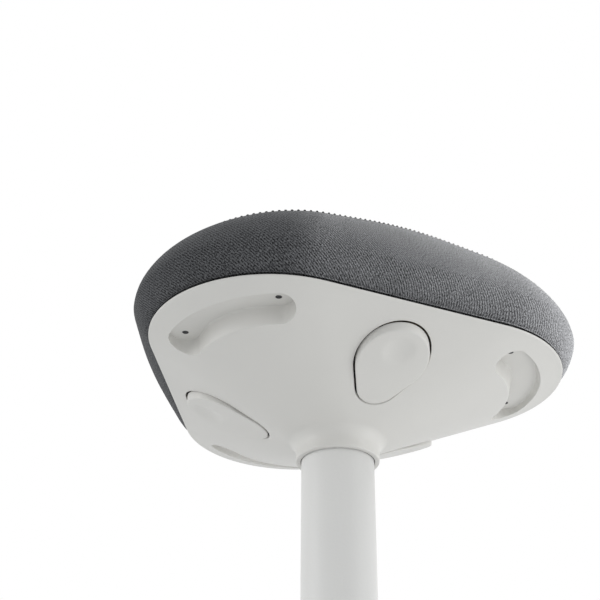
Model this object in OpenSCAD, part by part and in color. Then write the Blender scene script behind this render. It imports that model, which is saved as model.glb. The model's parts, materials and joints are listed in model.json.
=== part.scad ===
// Sit-stand stool: rounded triangular padded seat on a gas-lift column with a weighted rocker base.
// Millimetres, +Z up. The origin is the centre of the sole's flat face, on the column's axis.
// The rest pose is half way up the height travel, and the front lever faces -Y.

/* [Heights] */
// Height of the shell's rim above the floor, half way up the travel
rim_h = 600; // [585:1:640]
// Travel of the seat each way from the middle
half_travel = 110; // [80:1:112]

/* [Seat outline] */
// Distance from the column's axis to the centre of each corner's arc
corner_d = 90; // [80:1:100]
// Radius of each corner's arc
corner_r = 100; // [92:1:110]

/* [Shell] */
// Depth of the bowl from its rim to the collar
bowl_depth = 58.5; // [54:0.5:64]
// Radius at which the bowl runs into the collar
bowl_foot_r = 32; // [32:0.5:36]
// Wall of the shell
shell_wall = 3; // [2.5:0.1:3.5]
// Length of the collar below the bowl
collar_len = 14.5; // [10:0.5:20]
// Radius of the concave fillet between bowl and collar
collar_fillet = 12; // [6:0.5:14]
// Clearance between the cover tube and the collar
collar_gap = 1.8; // [1:0.1:2.5]

/* [Hand recesses] */
// Radius of the recess centre line
recess_r = 85; // [80:1:90]
// Distance from the column's axis to the centre of that line's arc
recess_d = 73; // [68:1:76]
// Half the width of the recess
recess_half_w = 13; // [10:0.5:14]
// Half the angle that the recess spans about its arc's centre
recess_half_a = 32.8; // [20:0.1:34]
// Height of the recess floor below the rim
recess_floor = 3; // [3:0.1:5]
// Wall around and above the recess
recess_wall = 2.5; // [2:0.1:3]

/* [Cushion] */
// Height of the crown above the rim
crown_h = 100; // [92:1:110]
// Height of the fullest line above the rim
belly_h = 23.4; // [20:0.1:28]
// Bulge of the fullest line beyond the rim at the corners
belly_out = 12.5; // [8:0.1:14]
// Extra bulge at the middle of each side
side_bow = 6.8; // [0:0.1:8]
// Height of the shoulder's end above the rim, if it ran level
shoulder_h = 80; // [74:0.5:84]
// Extra shoulder height at the middle of each side
side_rise = 12.1; // [6:0.1:13]
// How far the shoulder draws in
draw_in = 63.5; // [56:0.5:68]
// Thickness of the fabric cover with its lining
cover_t = 1.5; // [1:0.1:2]
// Gap between the rim of the shell and the fabric
shadow_gap = 1.2; // [1:0.1:1.6]
// Thickness of the plywood seat board
board_t = 10; // [9:0.5:12]

/* [Levers] */
// Distance from the axis to the centre of the paddle's wide end
wide_d = 99.5; // [96:0.5:102]
// Radius of the paddle's wide end
wide_r = 29.5; // [26:0.5:30]
// Distance from the axis to the centre of the paddle's narrow end
narrow_d = 77; // [75:0.5:80]
// Radius of the paddle's narrow end
narrow_r = 18.5; // [16:0.5:20]
// Gap between the paddle and its opening
lever_gap = 1.2; // [1:0.1:2]
// How far the wide end stands out of the shell
lever_proud = 6; // [4:0.1:7]
// Thickness of the paddle
paddle_t = 5; // [4:0.1:5.5]
// Diameter of the pivot pins
pivot_pin_d = 5; // [4:0.5:5]

/* [Column] */
// Outer diameter of the cover tube
cover_tube_d = 60; // [60:0.5:61]
// Wall of the cover tube
cover_tube_wall = 2; // [1.5:0.1:2.2]
// Outer diameter of the stand tube
stand_tube_d = 50; // [49:0.5:51]
// Wall of the stand tube
stand_tube_wall = 2; // [1.5:0.1:2.5]
// Diameter of the pressure cylinder
cylinder_d = 28; // [28:0.5:29]
// Wall of the pressure cylinder
cylinder_wall = 2; // [1.5:0.1:2]
// Length of the cylinder's taper
taper_len = 46; // [40:1:48]
// Diameter of the piston rod
rod_d = 10; // [9:0.5:11]
// Length of the guide sleeve in the stand tube
sleeve_len = 80; // [50:1:90]

/* [Base] */
// Radius of the base
base_r = 175; // [165:1:190]
// Radius of the sole's flat middle
flat_r = 95; // [80:1:105]
// Radius of the curve up which the sole rises outside its flat middle
rocker_r = 230; // [210:5:300]
// Thickness of the rubber sole
sole_t = 5; // [4:0.5:6]
// Thickness of the base pan
pan_t = 4; // [3:0.5:5]
// Radius of the ballast disc
ballast_r = 120; // [105:1:125]
// Thickness of the ballast disc
ballast_t = 18; // [14:0.5:20]
// Height of the base cover's neck above the floor
neck_h = 72; // [68:1:76]
// Wall of the base cover
base_wall = 3; // [2:0.1:3.5]

/* [Hidden] */

$fn = 96;
hull_fn = 96;
eps = 0.01;
hair = 0.02;
recess_steps = 19;
end_steps = 14;

// Clearances: a shaft that runs in a hole, a piece that is pressed or bolted in place, and free air
run = 0.05;
snug = 0.03;
air = 0.3;

CORNERS = [90, 210, 330];
LEVER_FRONT_A = 270;
LEVER_RIGHT_A = 30;
LEVER_LEFT_A = 150;
LEVERS = [LEVER_FRONT_A, LEVER_RIGHT_A, LEVER_LEFT_A];

// Radii of the column's pieces
cover_ro = cover_tube_d / 2;
cover_ri = cover_ro - cover_tube_wall;
stand_ro = stand_tube_d / 2;
stand_ri = stand_ro - stand_tube_wall;
cyl_ro = cylinder_d / 2;
cyl_ri = cyl_ro - cylinder_wall;
rod_r = rod_d / 2;

// Seat plate, board and the cone socket below them
plate_t = 4;
plate_r = 80;
board_z = rim_h + 2;
board_inset = 8;
plate_z = board_z - plate_t;
socket_top = plate_z - 14;
socket_r = 22;
skirt_len = 26;
flange_t = 5;
cone_drop = 1;
cone_z = socket_top - taper_len;
tube_top = cone_z + 8;
skirt_z = tube_top - skirt_len;
post_w = 16;

// Stand tube and base stack
flange_z = sole_t + pan_t + ballast_t;
tube_flange_t = 6;
tube_flange_r = 45;
stand_z = flange_z + tube_flange_t;
sleeve_lip = 3;
stand_top = skirt_z - half_travel - 7 - sleeve_lip;
spigot_r = 4.05;
race_t = 2;
race_r = 16;
ball_r = 1.97;
ball_space = 4;
ball_pitch_r = 11;
ball_count = 8;
cage_gap = 0.4;
rod_seat_z = stand_z + 2 * race_t + ball_space;
bump_h = 12;
bump_r = 15;
clip_z = flange_z - 1.4;
clip_t = 1;
clip_r = 7;
groove_r = 3.2;
spigot_end = 4;

// Pressure cylinder, its cap and the piston
end_gap = 2;
cap_h = 14;
cyl_z = rod_seat_z + bump_h + end_gap + half_travel;
cyl_head = 6;
cyl_top = socket_top;
piston_h = 16;
piston_z = cyl_z + half_travel + cap_h + 11;
rod_tail_r = 3;
seal_z = piston_z + 6;
seal_h = 4;
seal_w = 2.6;
pin_r = 2.5;
pin_proud = 7;
pin_top = cyl_top + pin_proud;

// Glide bush at the foot of the cover tube
bush_gap = 5;
bush_lip = 3;
bush_h = 25;
bush_z = neck_h + bush_gap + half_travel;
tube_z = bush_z + bush_lip;

// Star spring on the valve pin, just below the levers' arms
star_t = 0.8;
star_r = 24;
star_w = 7;
arm_w = 8;
arm_tip = 8;
arm_under = pin_top + star_t + 0.2 - rim_h;

// Levers, in the plane of one lever: first the distance from the axis, then the height from the rim
pivot_d = 66;
pivot_z = -24;
pivot_hub_r = 6;
pivot_hub_w = 20;
ear_t = 3;
ear_gap = 0.4;
pin_len = pivot_hub_w + 2 * (ear_t + ear_gap) + 1;
side_reach = corner_d / 2 + corner_r;
bowl_tan = bowl_depth / (side_reach - bowl_foot_r);
lever_in = narrow_d - narrow_r;
lever_out = wide_d + wide_r;
lever_in_z = bowl_z(lever_in) - 0.6;
lever_out_z = bowl_z(lever_out) - lever_proud / cos(atan(bowl_tan));
lever_tan = (lever_out_z - lever_in_z) / (lever_out - lever_in);
lever_tilt = atan(lever_tan);
paddle_back = paddle_t / cos(lever_tilt);
dimple_d = 110;
dimple_r = 50;
dimple_depth = 1.8;
arm_t = 4.5;
arm_neck = 26;
web_in = lever_in + 4;
web_out = lever_out - 25;

// Fasteners
shell_boss_r = 5.5;
cut_h = 2 * (bowl_depth + collar_len);
shell_hole_r = 2.8;
shell_head_r = 2.5;
shell_head_h = 2;
shell_shank_r = 1.6;
head_seat_z = board_z - 1.5;
lobe_x = recess_d + recess_r * cos(recess_half_a);
lobe_y = recess_r * sin(recess_half_a);
plate_bolt_d = 62;
plate_bolt_a = 22;
m6_r = 3;
tee_r = 4;
tee_flange_r = 9;
m6_head_r = 5.5;
m6_head_h = 4;
tee_flange_t = 1.5;
flange_bolt_d = 36;
flange_bolt_r = 3.95;
flange_bolt_in = 15;
flange_head_r = 6.5;
flange_head_h = 5;
flange_bolts_n = 4;
base_screw_d = base_r - 25;
base_screw_r = 1.9;
base_screw_in = 11;
base_head_r = 4;
base_head_h = 2.8;
base_screws_n = 6;
tube_screw_z = tube_top - 13;
tube_screw_r = 2;
tube_screw_in = 8;
staple_w = 9;
staple_wire = 0.9;
staple_leg = 5;
staple_in = 14;
staple_step = 15;

// Base cover
lip_h = 3;
lip_w = 4;
sole_bevel = 3;
lip_z = sole_z(base_r - sole_bevel) + sole_bevel + lip_h;
cover_foot_z = lip_z + air;
dome_foot = 11.4;
dome_rise = 15;
dome_corner = 6;
dome_turn = 15;
neck_turn = 10;
dome_z = cover_foot_z + dome_foot;
dome_out = base_r - dome_corner;
skirt_wall = base_wall + 0.7;
neck_r = 32;
neck_fillet = 24;
dome_in = neck_r + neck_fillet;
neck_ring_h = 12;
boss_r = 5;
ballast_bore_r = 20;
ballast_bevel = 2;

// Air between the sole and the pan and between the pan and the ballast, where they curve up
pan_lift = 0.2;
ballast_lift = 0.5;
head_hole_r = base_head_r + 0.5;
screw_seat_z = sole_z(base_screw_d) + sole_t + 1.2;
boss_z = sole_z(base_screw_d + boss_r) + sole_t + pan_t + pan_lift + air;

// Seat cover loft: points in a ring, rings on each stretch, and the taper of the curves
ring_n = 54;
hem_w = 18;
hem_z = 0.8;
lower_power = 1.6;
upper_power = 1.27;
upper_end_a = 66;
side_fill = 1.7;

// Wall round a paddle's back: at full press it stays below the staples at its outer end, and below the ears
press_a = 6;
paddle_wall_t = 1.8;
paddle_wall_room = 0.8;
pressed_top = hem_z - staple_wire - paddle_wall_room - pivot_z - (lever_out - pivot_d) * sin(press_a);
outer_wall_h = (pressed_top / cos(press_a) + pivot_z - lever_out_z) * cos(lever_tilt);
pivot_over_face = pivot_z - lever_in_z - (pivot_d - lever_in) * lever_tan;
inner_wall_h = pivot_over_face * cos(lever_tilt) - pivot_hub_r - paddle_wall_room;
paddle_wall_h = min(outer_wall_h, inner_wall_h);

// Where the rings of the cover and the foam lie on the profile; the inner faces leave out the lowest
COVER_FOOT = [0.02, 0.2];
COVER_RINGS = [0.45, 0.75, 1.05, 1.4, 1.7, 2, 2.4, 2.75];

// Height of the bowl's outer face below the rim, along the middle of a side
function bowl_z(r) = -(side_reach - r) * bowl_tan;

// Height of the sole's underside at a radius
function sole_z(r) = r <= flat_r ? 0 : rocker_r - sqrt(rocker_r * rocker_r - (r - flat_r) * (r - flat_r));

// Height of the base cover's dome at a radius
function dome_top(r) =
  let (x = (dome_out - r) / (dome_out - dome_in)) dome_z + dome_rise * (2 * x - x * x);

// Points along the rocker curve, raised by h, from radius a to radius b
function rocker(a, b, h, n = 8) = [for (i = [0:n]) let (r = a + (b - a) * i / n) [r, sole_z(r) + h]];

function reversed(v) = [for (i = [len(v) - 1:-1:0]) v[i]];

// Angle from the nearest corner, 0 to 60
function from_corner(t) = let (m = ((t - CORNERS[0]) % 120 + 120) % 120) min(m, 120 - m);

// Distance from the axis to the rounded triangle at angle t
function outline_r(t) =
  let (
    a = from_corner(t),
    turn = atan2(corner_r * sin(60), corner_d + corner_r * cos(60))
  )
  a <= turn
    ? corner_d * cos(a) + sqrt(corner_r * corner_r - pow(corner_d * sin(a), 2))
    : side_reach / cos(60 - a);

// 0 at a corner and 1 at the middle of a side
function side_share(t) = (1 - cos(3 * from_corner(t))) / 2;

// Three stretches of the cushion's profile at angle t: [distance from the axis, height from the rim]
function lower_point(t, a) =
  let (s = pow(sin(a), lower_power))
  [outline_r(t) + (belly_out + side_bow * side_share(t)) * s,
   shadow_gap + (belly_h - shadow_gap) * (1 - pow(cos(a), lower_power))];
function upper_point(t, a) =
  let (s = 1 - pow(cos(a), upper_power), b = side_share(t))
  [outline_r(t) + belly_out - draw_in * s + (side_bow + side_fill * s) * b,
   belly_h + (shoulder_h + side_rise * b - belly_h) * pow(sin(a), upper_power)];
function crown_point(t, q) =
  let (
    edge = upper_point(t, upper_end_a),
    before = upper_point(t, upper_end_a - 1),
    slope = (edge[1] - before[1]) / (before[0] - edge[0]),
    rise = crown_h - edge[1],
    n = slope * edge[0] / rise
  )
  [edge[0] * q, edge[1] + rise * (1 - pow(q, n))];

// Profile from the hem to the crown: u from 0 to 3, one unit a stretch
function profile(t, u) =
  u <= 1 ? lower_point(t, 90 * u)
  : u <= 2 ? upper_point(t, upper_end_a * (u - 1))
  : crown_point(t, 3 - u);

// The same point moved inwards by d, square to the surface
function inset_point(t, u, d) =
  let (
    p = profile(t, u),
    step = profile(t, min(u + 0.02, 2.99)) - profile(t, max(u - 0.02, 0.02)),
    n = [-step[1], step[0]] / norm(step)
  )
  p + d * n;

function ring_of(points_at) = [for (i = [0:ring_n - 1]) points_at(360 * i / ring_n)];
function to_xyz(t, p) = [p[0] * cos(t), p[0] * sin(t), p[1] + rim_h];
function cover_ring(u, d) =
  ring_of(function (t) to_xyz(t, d == 0 ? profile(t, u) : inset_point(t, u, d)));
function hem_ring(inset, z) = ring_of(function (t) to_xyz(t, [outline_r(t) - inset, z]));

// Solid through a list of rings, closed by a fan to the middle of its first and last ring
module loft(rings) {
  n = len(rings[0]);
  m = len(rings);
  mid = function (ring) [0, 0, ring[0][2]];
  points = concat([for (ring = rings) each ring], [mid(rings[0]), mid(rings[m - 1])]);
  sides = [
    for (k = [0:m - 2]) for (i = [0:n - 1])
      let (a = k * n + i, b = k * n + (i + 1) % n)
      each [[a, a + n, b], [b, a + n, b + n]]
  ];
  first = [for (i = [0:n - 1]) [m * n, i, (i + 1) % n]];
  last = [for (i = [0:n - 1]) [m * n + 1, (m - 1) * n + (i + 1) % n, (m - 1) * n + i]];
  polyhedron(points, concat(sides, first, last));
}

module ring(r_out, r_in, h) {
  difference() {
    cylinder(r = r_out, h = h);
    translate([0, 0, -1]) cylinder(r = r_in, h = h + 2);
  }
}

// Copies at each angle of a list, turned with it
module at_angles(angles) {
  for (a = angles) rotate(a) children();
}

// Rounded triangle with its corners at CORNERS; grow moves its edge outwards. Its straight sides lie
// a hair inside, so that they cross the arcs and don't just touch them.
module rounded_triangle(grow = 0) {
  r = corner_r + grow;
  for (a = CORNERS) rotate(a) translate([corner_d, 0]) circle(r = r, $fn = hull_fn);
  polygon([
    for (a = CORNERS) for (s = [-60, 60])
      corner_d * [cos(a), sin(a)] + (r - hair) * [cos(a + s), sin(a + s)]
  ]);
}

// Outline of a paddle that lies along +X
module teardrop(grow = 0) {
  side = acos((wide_r - narrow_r) / (wide_d - narrow_d));
  translate([wide_d, 0]) circle(r = wide_r + grow);
  translate([narrow_d, 0]) circle(r = narrow_r + grow);
  polygon([
    for (p = [[wide_d, wide_r, -1], [narrow_d, narrow_r, -1], [narrow_d, narrow_r, 1], [wide_d, wide_r, 1]])
      [p[0], 0] + (p[1] + grow - hair) * [-cos(side), p[2] * sin(side)]
  ]);
}

// Points of an arc about a centre, from angle a to angle b in n steps
function arc(centre, r, a, b, n) =
  [for (i = [0:n]) let (t = a + (b - a) * i / n) centre + r * [cos(t), sin(t)]];

// Outline of a hand recess whose corner lies along +X: a band with round ends
module recess_outline(grow = 0) {
  w = recess_half_w + grow;
  a = recess_half_a;
  end = function (s) recess_r * [cos(a), s * sin(a)];
  translate([recess_d, 0]) polygon(concat(
    arc([0, 0], recess_r + w, -a, a, recess_steps),
    arc(end(1), w, a + 180 / end_steps, a + 180 - 180 / end_steps, end_steps - 2),
    arc([0, 0], recess_r - w, a, -a, recess_steps),
    arc(end(-1), w, 180 - a + 180 / end_steps, 360 - a - 180 / end_steps, end_steps - 2)
  ));
}

// Places a child at the six screw holes in the recess floors
module at_lobes() {
  at_angles(CORNERS) for (s = [-1, 1]) translate([lobe_x, s * lobe_y]) children();
}

module at_plate_bolts() {
  at_angles(CORNERS) for (s = [-1, 1]) rotate(s * plate_bolt_a) translate([plate_bolt_d, 0]) children();
}

module around(n, r, start = 0) {
  for (i = [0:n - 1]) rotate(start + 360 * i / n) translate([r, 0]) children();
}

module rubber_sole() {
  color([0.16, 0.16, 0.17])
  difference() {
    rotate_extrude() polygon(concat(
      [[0, 0], [flat_r, 0]],
      rocker(flat_r, base_r - sole_bevel, 0),
      [[base_r, lip_z - lip_h], [base_r, lip_z], [base_r - lip_w, lip_z]],
      reversed(rocker(flat_r, base_r - lip_w, sole_t)),
      [[0, sole_t]]
    ));
    around(base_screws_n, base_screw_d) translate([0, 0, -1]) cylinder(r = boss_r, h = lip_z);
  }
}

module base_pan() {
  edge = base_r - lip_w - air;
  color([0.22, 0.22, 0.23])
  difference() {
    rotate_extrude() polygon(concat(
      [[0, sole_t], [flat_r, sole_t]],
      rocker(flat_r + 1, edge, sole_t + pan_lift),
      reversed(rocker(flat_r + 1, edge, sole_t + pan_t + pan_lift)),
      [[flat_r, sole_t + pan_t], [0, sole_t + pan_t]]
    ));
    around(base_screws_n, base_screw_d) {
      translate([0, 0, -1]) cylinder(r = head_hole_r, h = screw_seat_z + 1);
      cylinder(r = base_screw_r + air, h = lip_z);
    }
  }
}

module ballast_disc() {
  color([0.25, 0.25, 0.26])
  difference() {
    rotate_extrude() polygon(concat(
      [[ballast_bore_r, sole_t + pan_t], [flat_r, sole_t + pan_t]],
      rocker(flat_r + 1, ballast_r, sole_t + pan_t + ballast_lift),
      [[ballast_r, flange_z - ballast_bevel], [ballast_r - ballast_bevel, flange_z],
       [ballast_bore_r, flange_z]]
    ));
    around(flange_bolts_n, flange_bolt_d, 45) cylinder(r = flange_bolt_r + run, h = flange_z + 1);
  }
}

module flange_bolts() {
  color([0.6, 0.6, 0.62])
  around(flange_bolts_n, flange_bolt_d, 45) {
    translate([0, 0, flange_z - flange_bolt_in])
      cylinder(r = flange_bolt_r, h = flange_bolt_in + tube_flange_t);
    translate([0, 0, stand_z]) cylinder(r = flange_head_r, h = flange_head_h, $fn = 6);
  }
}

module base_cover() {
  foot = cover_foot_z;
  fillet_z = dome_z + dome_rise + neck_fillet;
  dome = function (x, d) let (r = dome_out - (dome_out - dome_in) * x) [r, dome_top(r) - d];
  flare = function (b, d) [dome_in - (neck_fillet + d) * sin(b), fillet_z - (neck_fillet + d) * cos(b)];
  color([0.86, 0.86, 0.84])
  difference() {
    union() {
      rotate_extrude() polygon(concat(
        [[base_r, foot]],
        [for (a = [0:dome_turn:90 - dome_turn]) [dome_out + dome_corner * cos(a), dome_z - dome_corner + dome_corner * sin(a)]],
        [for (i = [0:8]) dome(i / 8, 0)],
        [for (b = [neck_turn:neck_turn:90]) flare(b, 0)],
        [[neck_r, neck_h], [neck_r - base_wall, neck_h]],
        [for (b = [90:-neck_turn:neck_turn]) flare(b, base_wall)],
        [for (i = [8:-1:1]) dome(i / 8, base_wall)],
        [[base_r - skirt_wall, dome_z - dome_corner], [base_r - skirt_wall, foot]]
      ));
      around(base_screws_n, base_screw_d)
        translate([0, 0, boss_z])
          cylinder(r = boss_r, h = dome_top(base_screw_d) - base_wall / 2 - boss_z);
    }
    around(base_screws_n, base_screw_d)
      translate([0, 0, boss_z - 1]) cylinder(r = base_screw_r + snug, h = base_screw_in + 2);
  }
}

module base_screws() {
  color([0.6, 0.6, 0.62])
  around(base_screws_n, base_screw_d) {
    translate([0, 0, screw_seat_z - base_head_h]) cylinder(r = base_head_r, h = base_head_h);
    translate([0, 0, screw_seat_z - 1])
      cylinder(r = base_screw_r, h = boss_z + base_screw_in - screw_seat_z + 1);
  }
}

module neck_ring() {
  color([0.16, 0.16, 0.17])
  translate([0, 0, neck_h - neck_ring_h]) ring(neck_r - base_wall - snug, stand_ro + snug, neck_ring_h);
}

module stand_tube() {
  color([0.86, 0.86, 0.84])
  difference() {
    union() {
      translate([0, 0, flange_z]) cylinder(r = tube_flange_r, h = tube_flange_t);
      translate([0, 0, flange_z]) cylinder(r = stand_ro, h = stand_top - flange_z);
    }
    translate([0, 0, stand_z]) cylinder(r = stand_ri, h = stand_top);
    translate([0, 0, flange_z - 1]) cylinder(r = spigot_r + run, h = tube_flange_t + 2);
    around(flange_bolts_n, flange_bolt_d, 45)
      translate([0, 0, flange_z - 1]) cylinder(r = flange_bolt_r + air, h = tube_flange_t + 2);
  }
}

module guide_sleeve() {
  color([0.9, 0.9, 0.86])
  difference() {
    union() {
      translate([0, 0, stand_top - sleeve_len]) cylinder(r = stand_ri - snug, h = sleeve_len);
      translate([0, 0, stand_top]) cylinder(r = stand_ro, h = sleeve_lip);
    }
    translate([0, 0, stand_top - sleeve_len - 1]) cylinder(r = cyl_ro + run, h = sleeve_len + sleeve_lip + 2);
  }
}

module lower_race() {
  color([0.7, 0.7, 0.72])
  translate([0, 0, stand_z]) ring(race_r, spigot_r + 0.5, race_t);
}

module bearing_cage() {
  color([0.85, 0.8, 0.6])
  translate([0, 0, stand_z + race_t + cage_gap])
  difference() {
    ring(race_r - 1, clip_r, ball_space - 2 * cage_gap);
    around(ball_count, ball_pitch_r) translate([0, 0, -1]) cylinder(r = ball_r + 0.08, h = ball_space + 1);
  }
}

module bearing_balls() {
  color([0.75, 0.75, 0.77])
  around(ball_count, ball_pitch_r)
    translate([0, 0, stand_z + race_t + ball_space / 2]) sphere(r = ball_r, $fn = 24);
}

module upper_race() {
  color([0.7, 0.7, 0.72])
  translate([0, 0, stand_z + race_t + ball_space]) ring(race_r, spigot_r + snug, race_t);
}

module rod_clip() {
  color([0.35, 0.35, 0.37])
  translate([0, 0, clip_z])
  difference() {
    ring(clip_r, groove_r + run, clip_t);
    translate([2, -1.5, -1]) cube([clip_r, 3, clip_t + 2]);
  }
}

module bump_stop() {
  color([0.2, 0.2, 0.2])
  translate([0, 0, rod_seat_z + 0.2]) ring(bump_r, rod_r + snug, bump_h - 0.2);
}

module piston_rod() {
  color([0.75, 0.76, 0.78])
  difference() {
    union() {
      translate([0, 0, clip_z - spigot_end])
        cylinder(r = spigot_r, h = rod_seat_z - clip_z + spigot_end + eps);
      translate([0, 0, rod_seat_z]) cylinder(r = rod_r, h = piston_z - rod_seat_z);
      translate([0, 0, piston_z - eps]) cylinder(r = rod_tail_r, h = piston_h + 2);
    }
    translate([0, 0, clip_z - 0.1]) ring(spigot_r + 1, groove_r, clip_t + 0.2);
  }
}

module piston() {
  color([0.5, 0.5, 0.52])
  difference() {
    translate([0, 0, piston_z]) ring(cyl_ri - run, rod_tail_r + snug, piston_h);
    translate([0, 0, seal_z]) ring(cyl_ri + 1, cyl_ri - seal_w, seal_h);
  }
}

module piston_seal() {
  color([0.15, 0.15, 0.15])
  translate([0, 0, seal_z + 0.1]) ring(cyl_ri - snug, cyl_ri - seal_w + snug, seal_h - 0.2);
}

module gas_cylinder() {
  color([0.2, 0.2, 0.21])
  difference() {
    union() {
      translate([0, 0, cyl_z]) cylinder(r = cyl_ro, h = cone_z - cyl_z);
      translate([0, 0, cone_z]) cylinder(r1 = cyl_ro, r2 = cyl_ro - cone_drop, h = taper_len);
    }
    translate([0, 0, cyl_z - 1]) cylinder(r = cyl_ri, h = cone_z - cyl_head - cyl_z + 1);
    translate([0, 0, cone_z - cyl_head - 1]) cylinder(r = pin_r + run, h = taper_len + cyl_head + 2);
  }
}

module cylinder_cap() {
  color([0.55, 0.55, 0.57])
  translate([0, 0, cyl_z]) ring(cyl_ri - snug, rod_r + run, cap_h);
}

module cover_tube() {
  color([0.86, 0.86, 0.84])
  difference() {
    translate([0, 0, tube_z]) ring(cover_ro, cover_ri, tube_top - tube_z);
    at_angles(CORNERS) translate([cover_ri - 2, 0, tube_screw_z]) rotate([0, 90, 0])
      cylinder(r = tube_screw_r + snug, h = 6);
  }
}

module glide_bush() {
  color([0.2, 0.2, 0.21])
  difference() {
    union() {
      translate([0, 0, bush_z]) cylinder(r = cover_ro, h = bush_lip);
      translate([0, 0, bush_z]) cylinder(r = cover_ri - snug, h = bush_lip + bush_h);
    }
    translate([0, 0, bush_z - 1]) cylinder(r = stand_ro + run, h = bush_lip + bush_h + 2);
  }
}

module tube_screws() {
  color([0.6, 0.6, 0.62])
  at_angles(CORNERS) translate([cover_ri - tube_screw_in, 0, tube_screw_z]) rotate([0, 90, 0])
    cylinder(r = tube_screw_r, h = cover_tube_wall + tube_screw_in - 0.1);
}

module cone_socket() {
  color([0.45, 0.46, 0.48])
  difference() {
    union() {
      translate([0, 0, skirt_z]) cylinder(r = cover_ri - run, h = skirt_len);
      translate([0, 0, tube_top]) cylinder(r = cover_ro, h = flange_t);
      translate([0, 0, tube_top]) cylinder(r = socket_r, h = socket_top - tube_top);
      at_angles(CORNERS) intersection() {
        translate([0, 0, socket_top - 1]) cylinder(r = socket_r - 0.5, h = plate_z - socket_top + 1);
        translate([cyl_ro, -post_w / 2, socket_top - 1]) cube([socket_r, post_w, plate_z - socket_top + 1]);
      }
    }
    translate([0, 0, skirt_z - 1]) cylinder(r = cyl_ro + air, h = cone_z - skirt_z + 1);
    translate([0, 0, cone_z])
      cylinder(r1 = cyl_ro + snug, r2 = cyl_ro - cone_drop + snug, h = taper_len + eps);
    at_angles(CORNERS) translate([cover_ri - tube_screw_in - 0.2, 0, tube_screw_z]) rotate([0, 90, 0])
      cylinder(r = tube_screw_r + snug, h = 1.5 * tube_screw_in);
  }
}

module seat_plate() {
  color([0.3, 0.3, 0.32])
  difference() {
    union() {
      translate([0, 0, plate_z]) cylinder(r = plate_r, h = plate_t);
      at_angles(LEVERS) for (s = [-1, 1]) ear(s);
    }
    at_plate_bolts() translate([0, 0, plate_z - 1]) cylinder(r = m6_r + air, h = plate_t + 2);
    at_angles(LEVERS) translate([pivot_d, 0, rim_h + pivot_z]) rotate([90, 0, 0])
      cylinder(r = pivot_pin_d / 2 + snug, h = 2 * pin_len, center = true);
  }
}

// One ear of a lever's bracket, on side s of the arm
module ear(s) {
  half = pivot_hub_w / 2 + ear_gap;
  foot = rim_h + pivot_z;
  y = s > 0 ? half : -half - ear_t;
  translate([pivot_d - pivot_hub_r, y, foot]) cube([2 * pivot_hub_r, ear_t, plate_z - foot + 1]);
  translate([pivot_d, y, foot]) rotate([-90, 0, 0]) cylinder(r = pivot_hub_r, h = ear_t);
}

module plate_bolts() {
  color([0.6, 0.6, 0.62])
  at_plate_bolts() {
    translate([0, 0, plate_z - m6_head_h]) cylinder(r = m6_head_r, h = m6_head_h, $fn = 6);
    translate([0, 0, plate_z - 1]) cylinder(r = m6_r, h = plate_t + board_t - 1);
  }
}

module tee_nuts() {
  color([0.7, 0.68, 0.6])
  at_plate_bolts() difference() {
    union() {
      translate([0, 0, board_z + 1.5]) cylinder(r = tee_r, h = board_t - 1.6);
      translate([0, 0, board_z + board_t - tee_flange_t + 0.1])
        cylinder(r = tee_flange_r, h = tee_flange_t - 0.2);
    }
    translate([0, 0, board_z]) cylinder(r = m6_r + snug, h = board_t + 2);
  }
}

module seat_board() {
  color([0.8, 0.68, 0.5])
  difference() {
    translate([0, 0, board_z]) linear_extrude(board_t) rounded_triangle(-board_inset);
    at_plate_bolts() {
      translate([0, 0, board_z - 1]) cylinder(r = tee_r + snug, h = board_t + 2);
      translate([0, 0, board_z + board_t - tee_flange_t]) cylinder(r = tee_flange_r + snug, h = 3);
    }
    at_lobes() translate([0, 0, board_z - 1]) cylinder(r = shell_shank_r + snug, h = board_t);
  }
}

module foam_pad() {
  inset = cover_t + air;
  color([0.9, 0.88, 0.75])
  difference() {
    loft(concat([hem_ring(inset, board_z - rim_h + 0.2)], [for (u = COVER_RINGS) cover_ring(u, inset)]));
    translate([0, 0, board_z - 1]) linear_extrude(board_t + 1.3) rounded_triangle(air - board_inset);
  }
}

module seat_cover() {
  inner_z = board_z - rim_h - 0.1;
  color([0.36, 0.37, 0.39])
  loft(concat(
    [for (u = reversed(COVER_RINGS)) cover_ring(u, cover_t)],
    [hem_ring(cover_t, inner_z), hem_ring(hem_w, inner_z)],
    [hem_ring(hem_w, hem_z), hem_ring(1, hem_z)],
    [for (u = concat(COVER_FOOT, COVER_RINGS)) cover_ring(u, 0)]
  ));
}

module hem_staples() {
  color([0.7, 0.7, 0.72])
  for (t = [0:staple_step:359]) {
    rotate(t + 5) translate([outline_r(t + 5) - staple_in, 0, rim_h + hem_z - staple_wire]) {
      translate([0, -staple_w / 2, 0]) cube([staple_wire, staple_w, staple_wire - 0.1]);
      for (s = [-1, 1]) translate([0, s * (staple_w - staple_wire) / 2 - staple_wire / 2, 0])
        cube([staple_wire, staple_wire, staple_leg]);
    }
  }
}

// Bowl as the solid between the rim's rounded triangle and the foot circle, raised by lift
module bowl(lift) {
  translate([0, 0, rim_h + lift])
  hull() {
    linear_extrude(lift + eps) rounded_triangle();
    translate([0, 0, -bowl_depth]) cylinder(r = bowl_foot_r, h = eps, $fn = hull_fn);
  }
}

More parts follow.
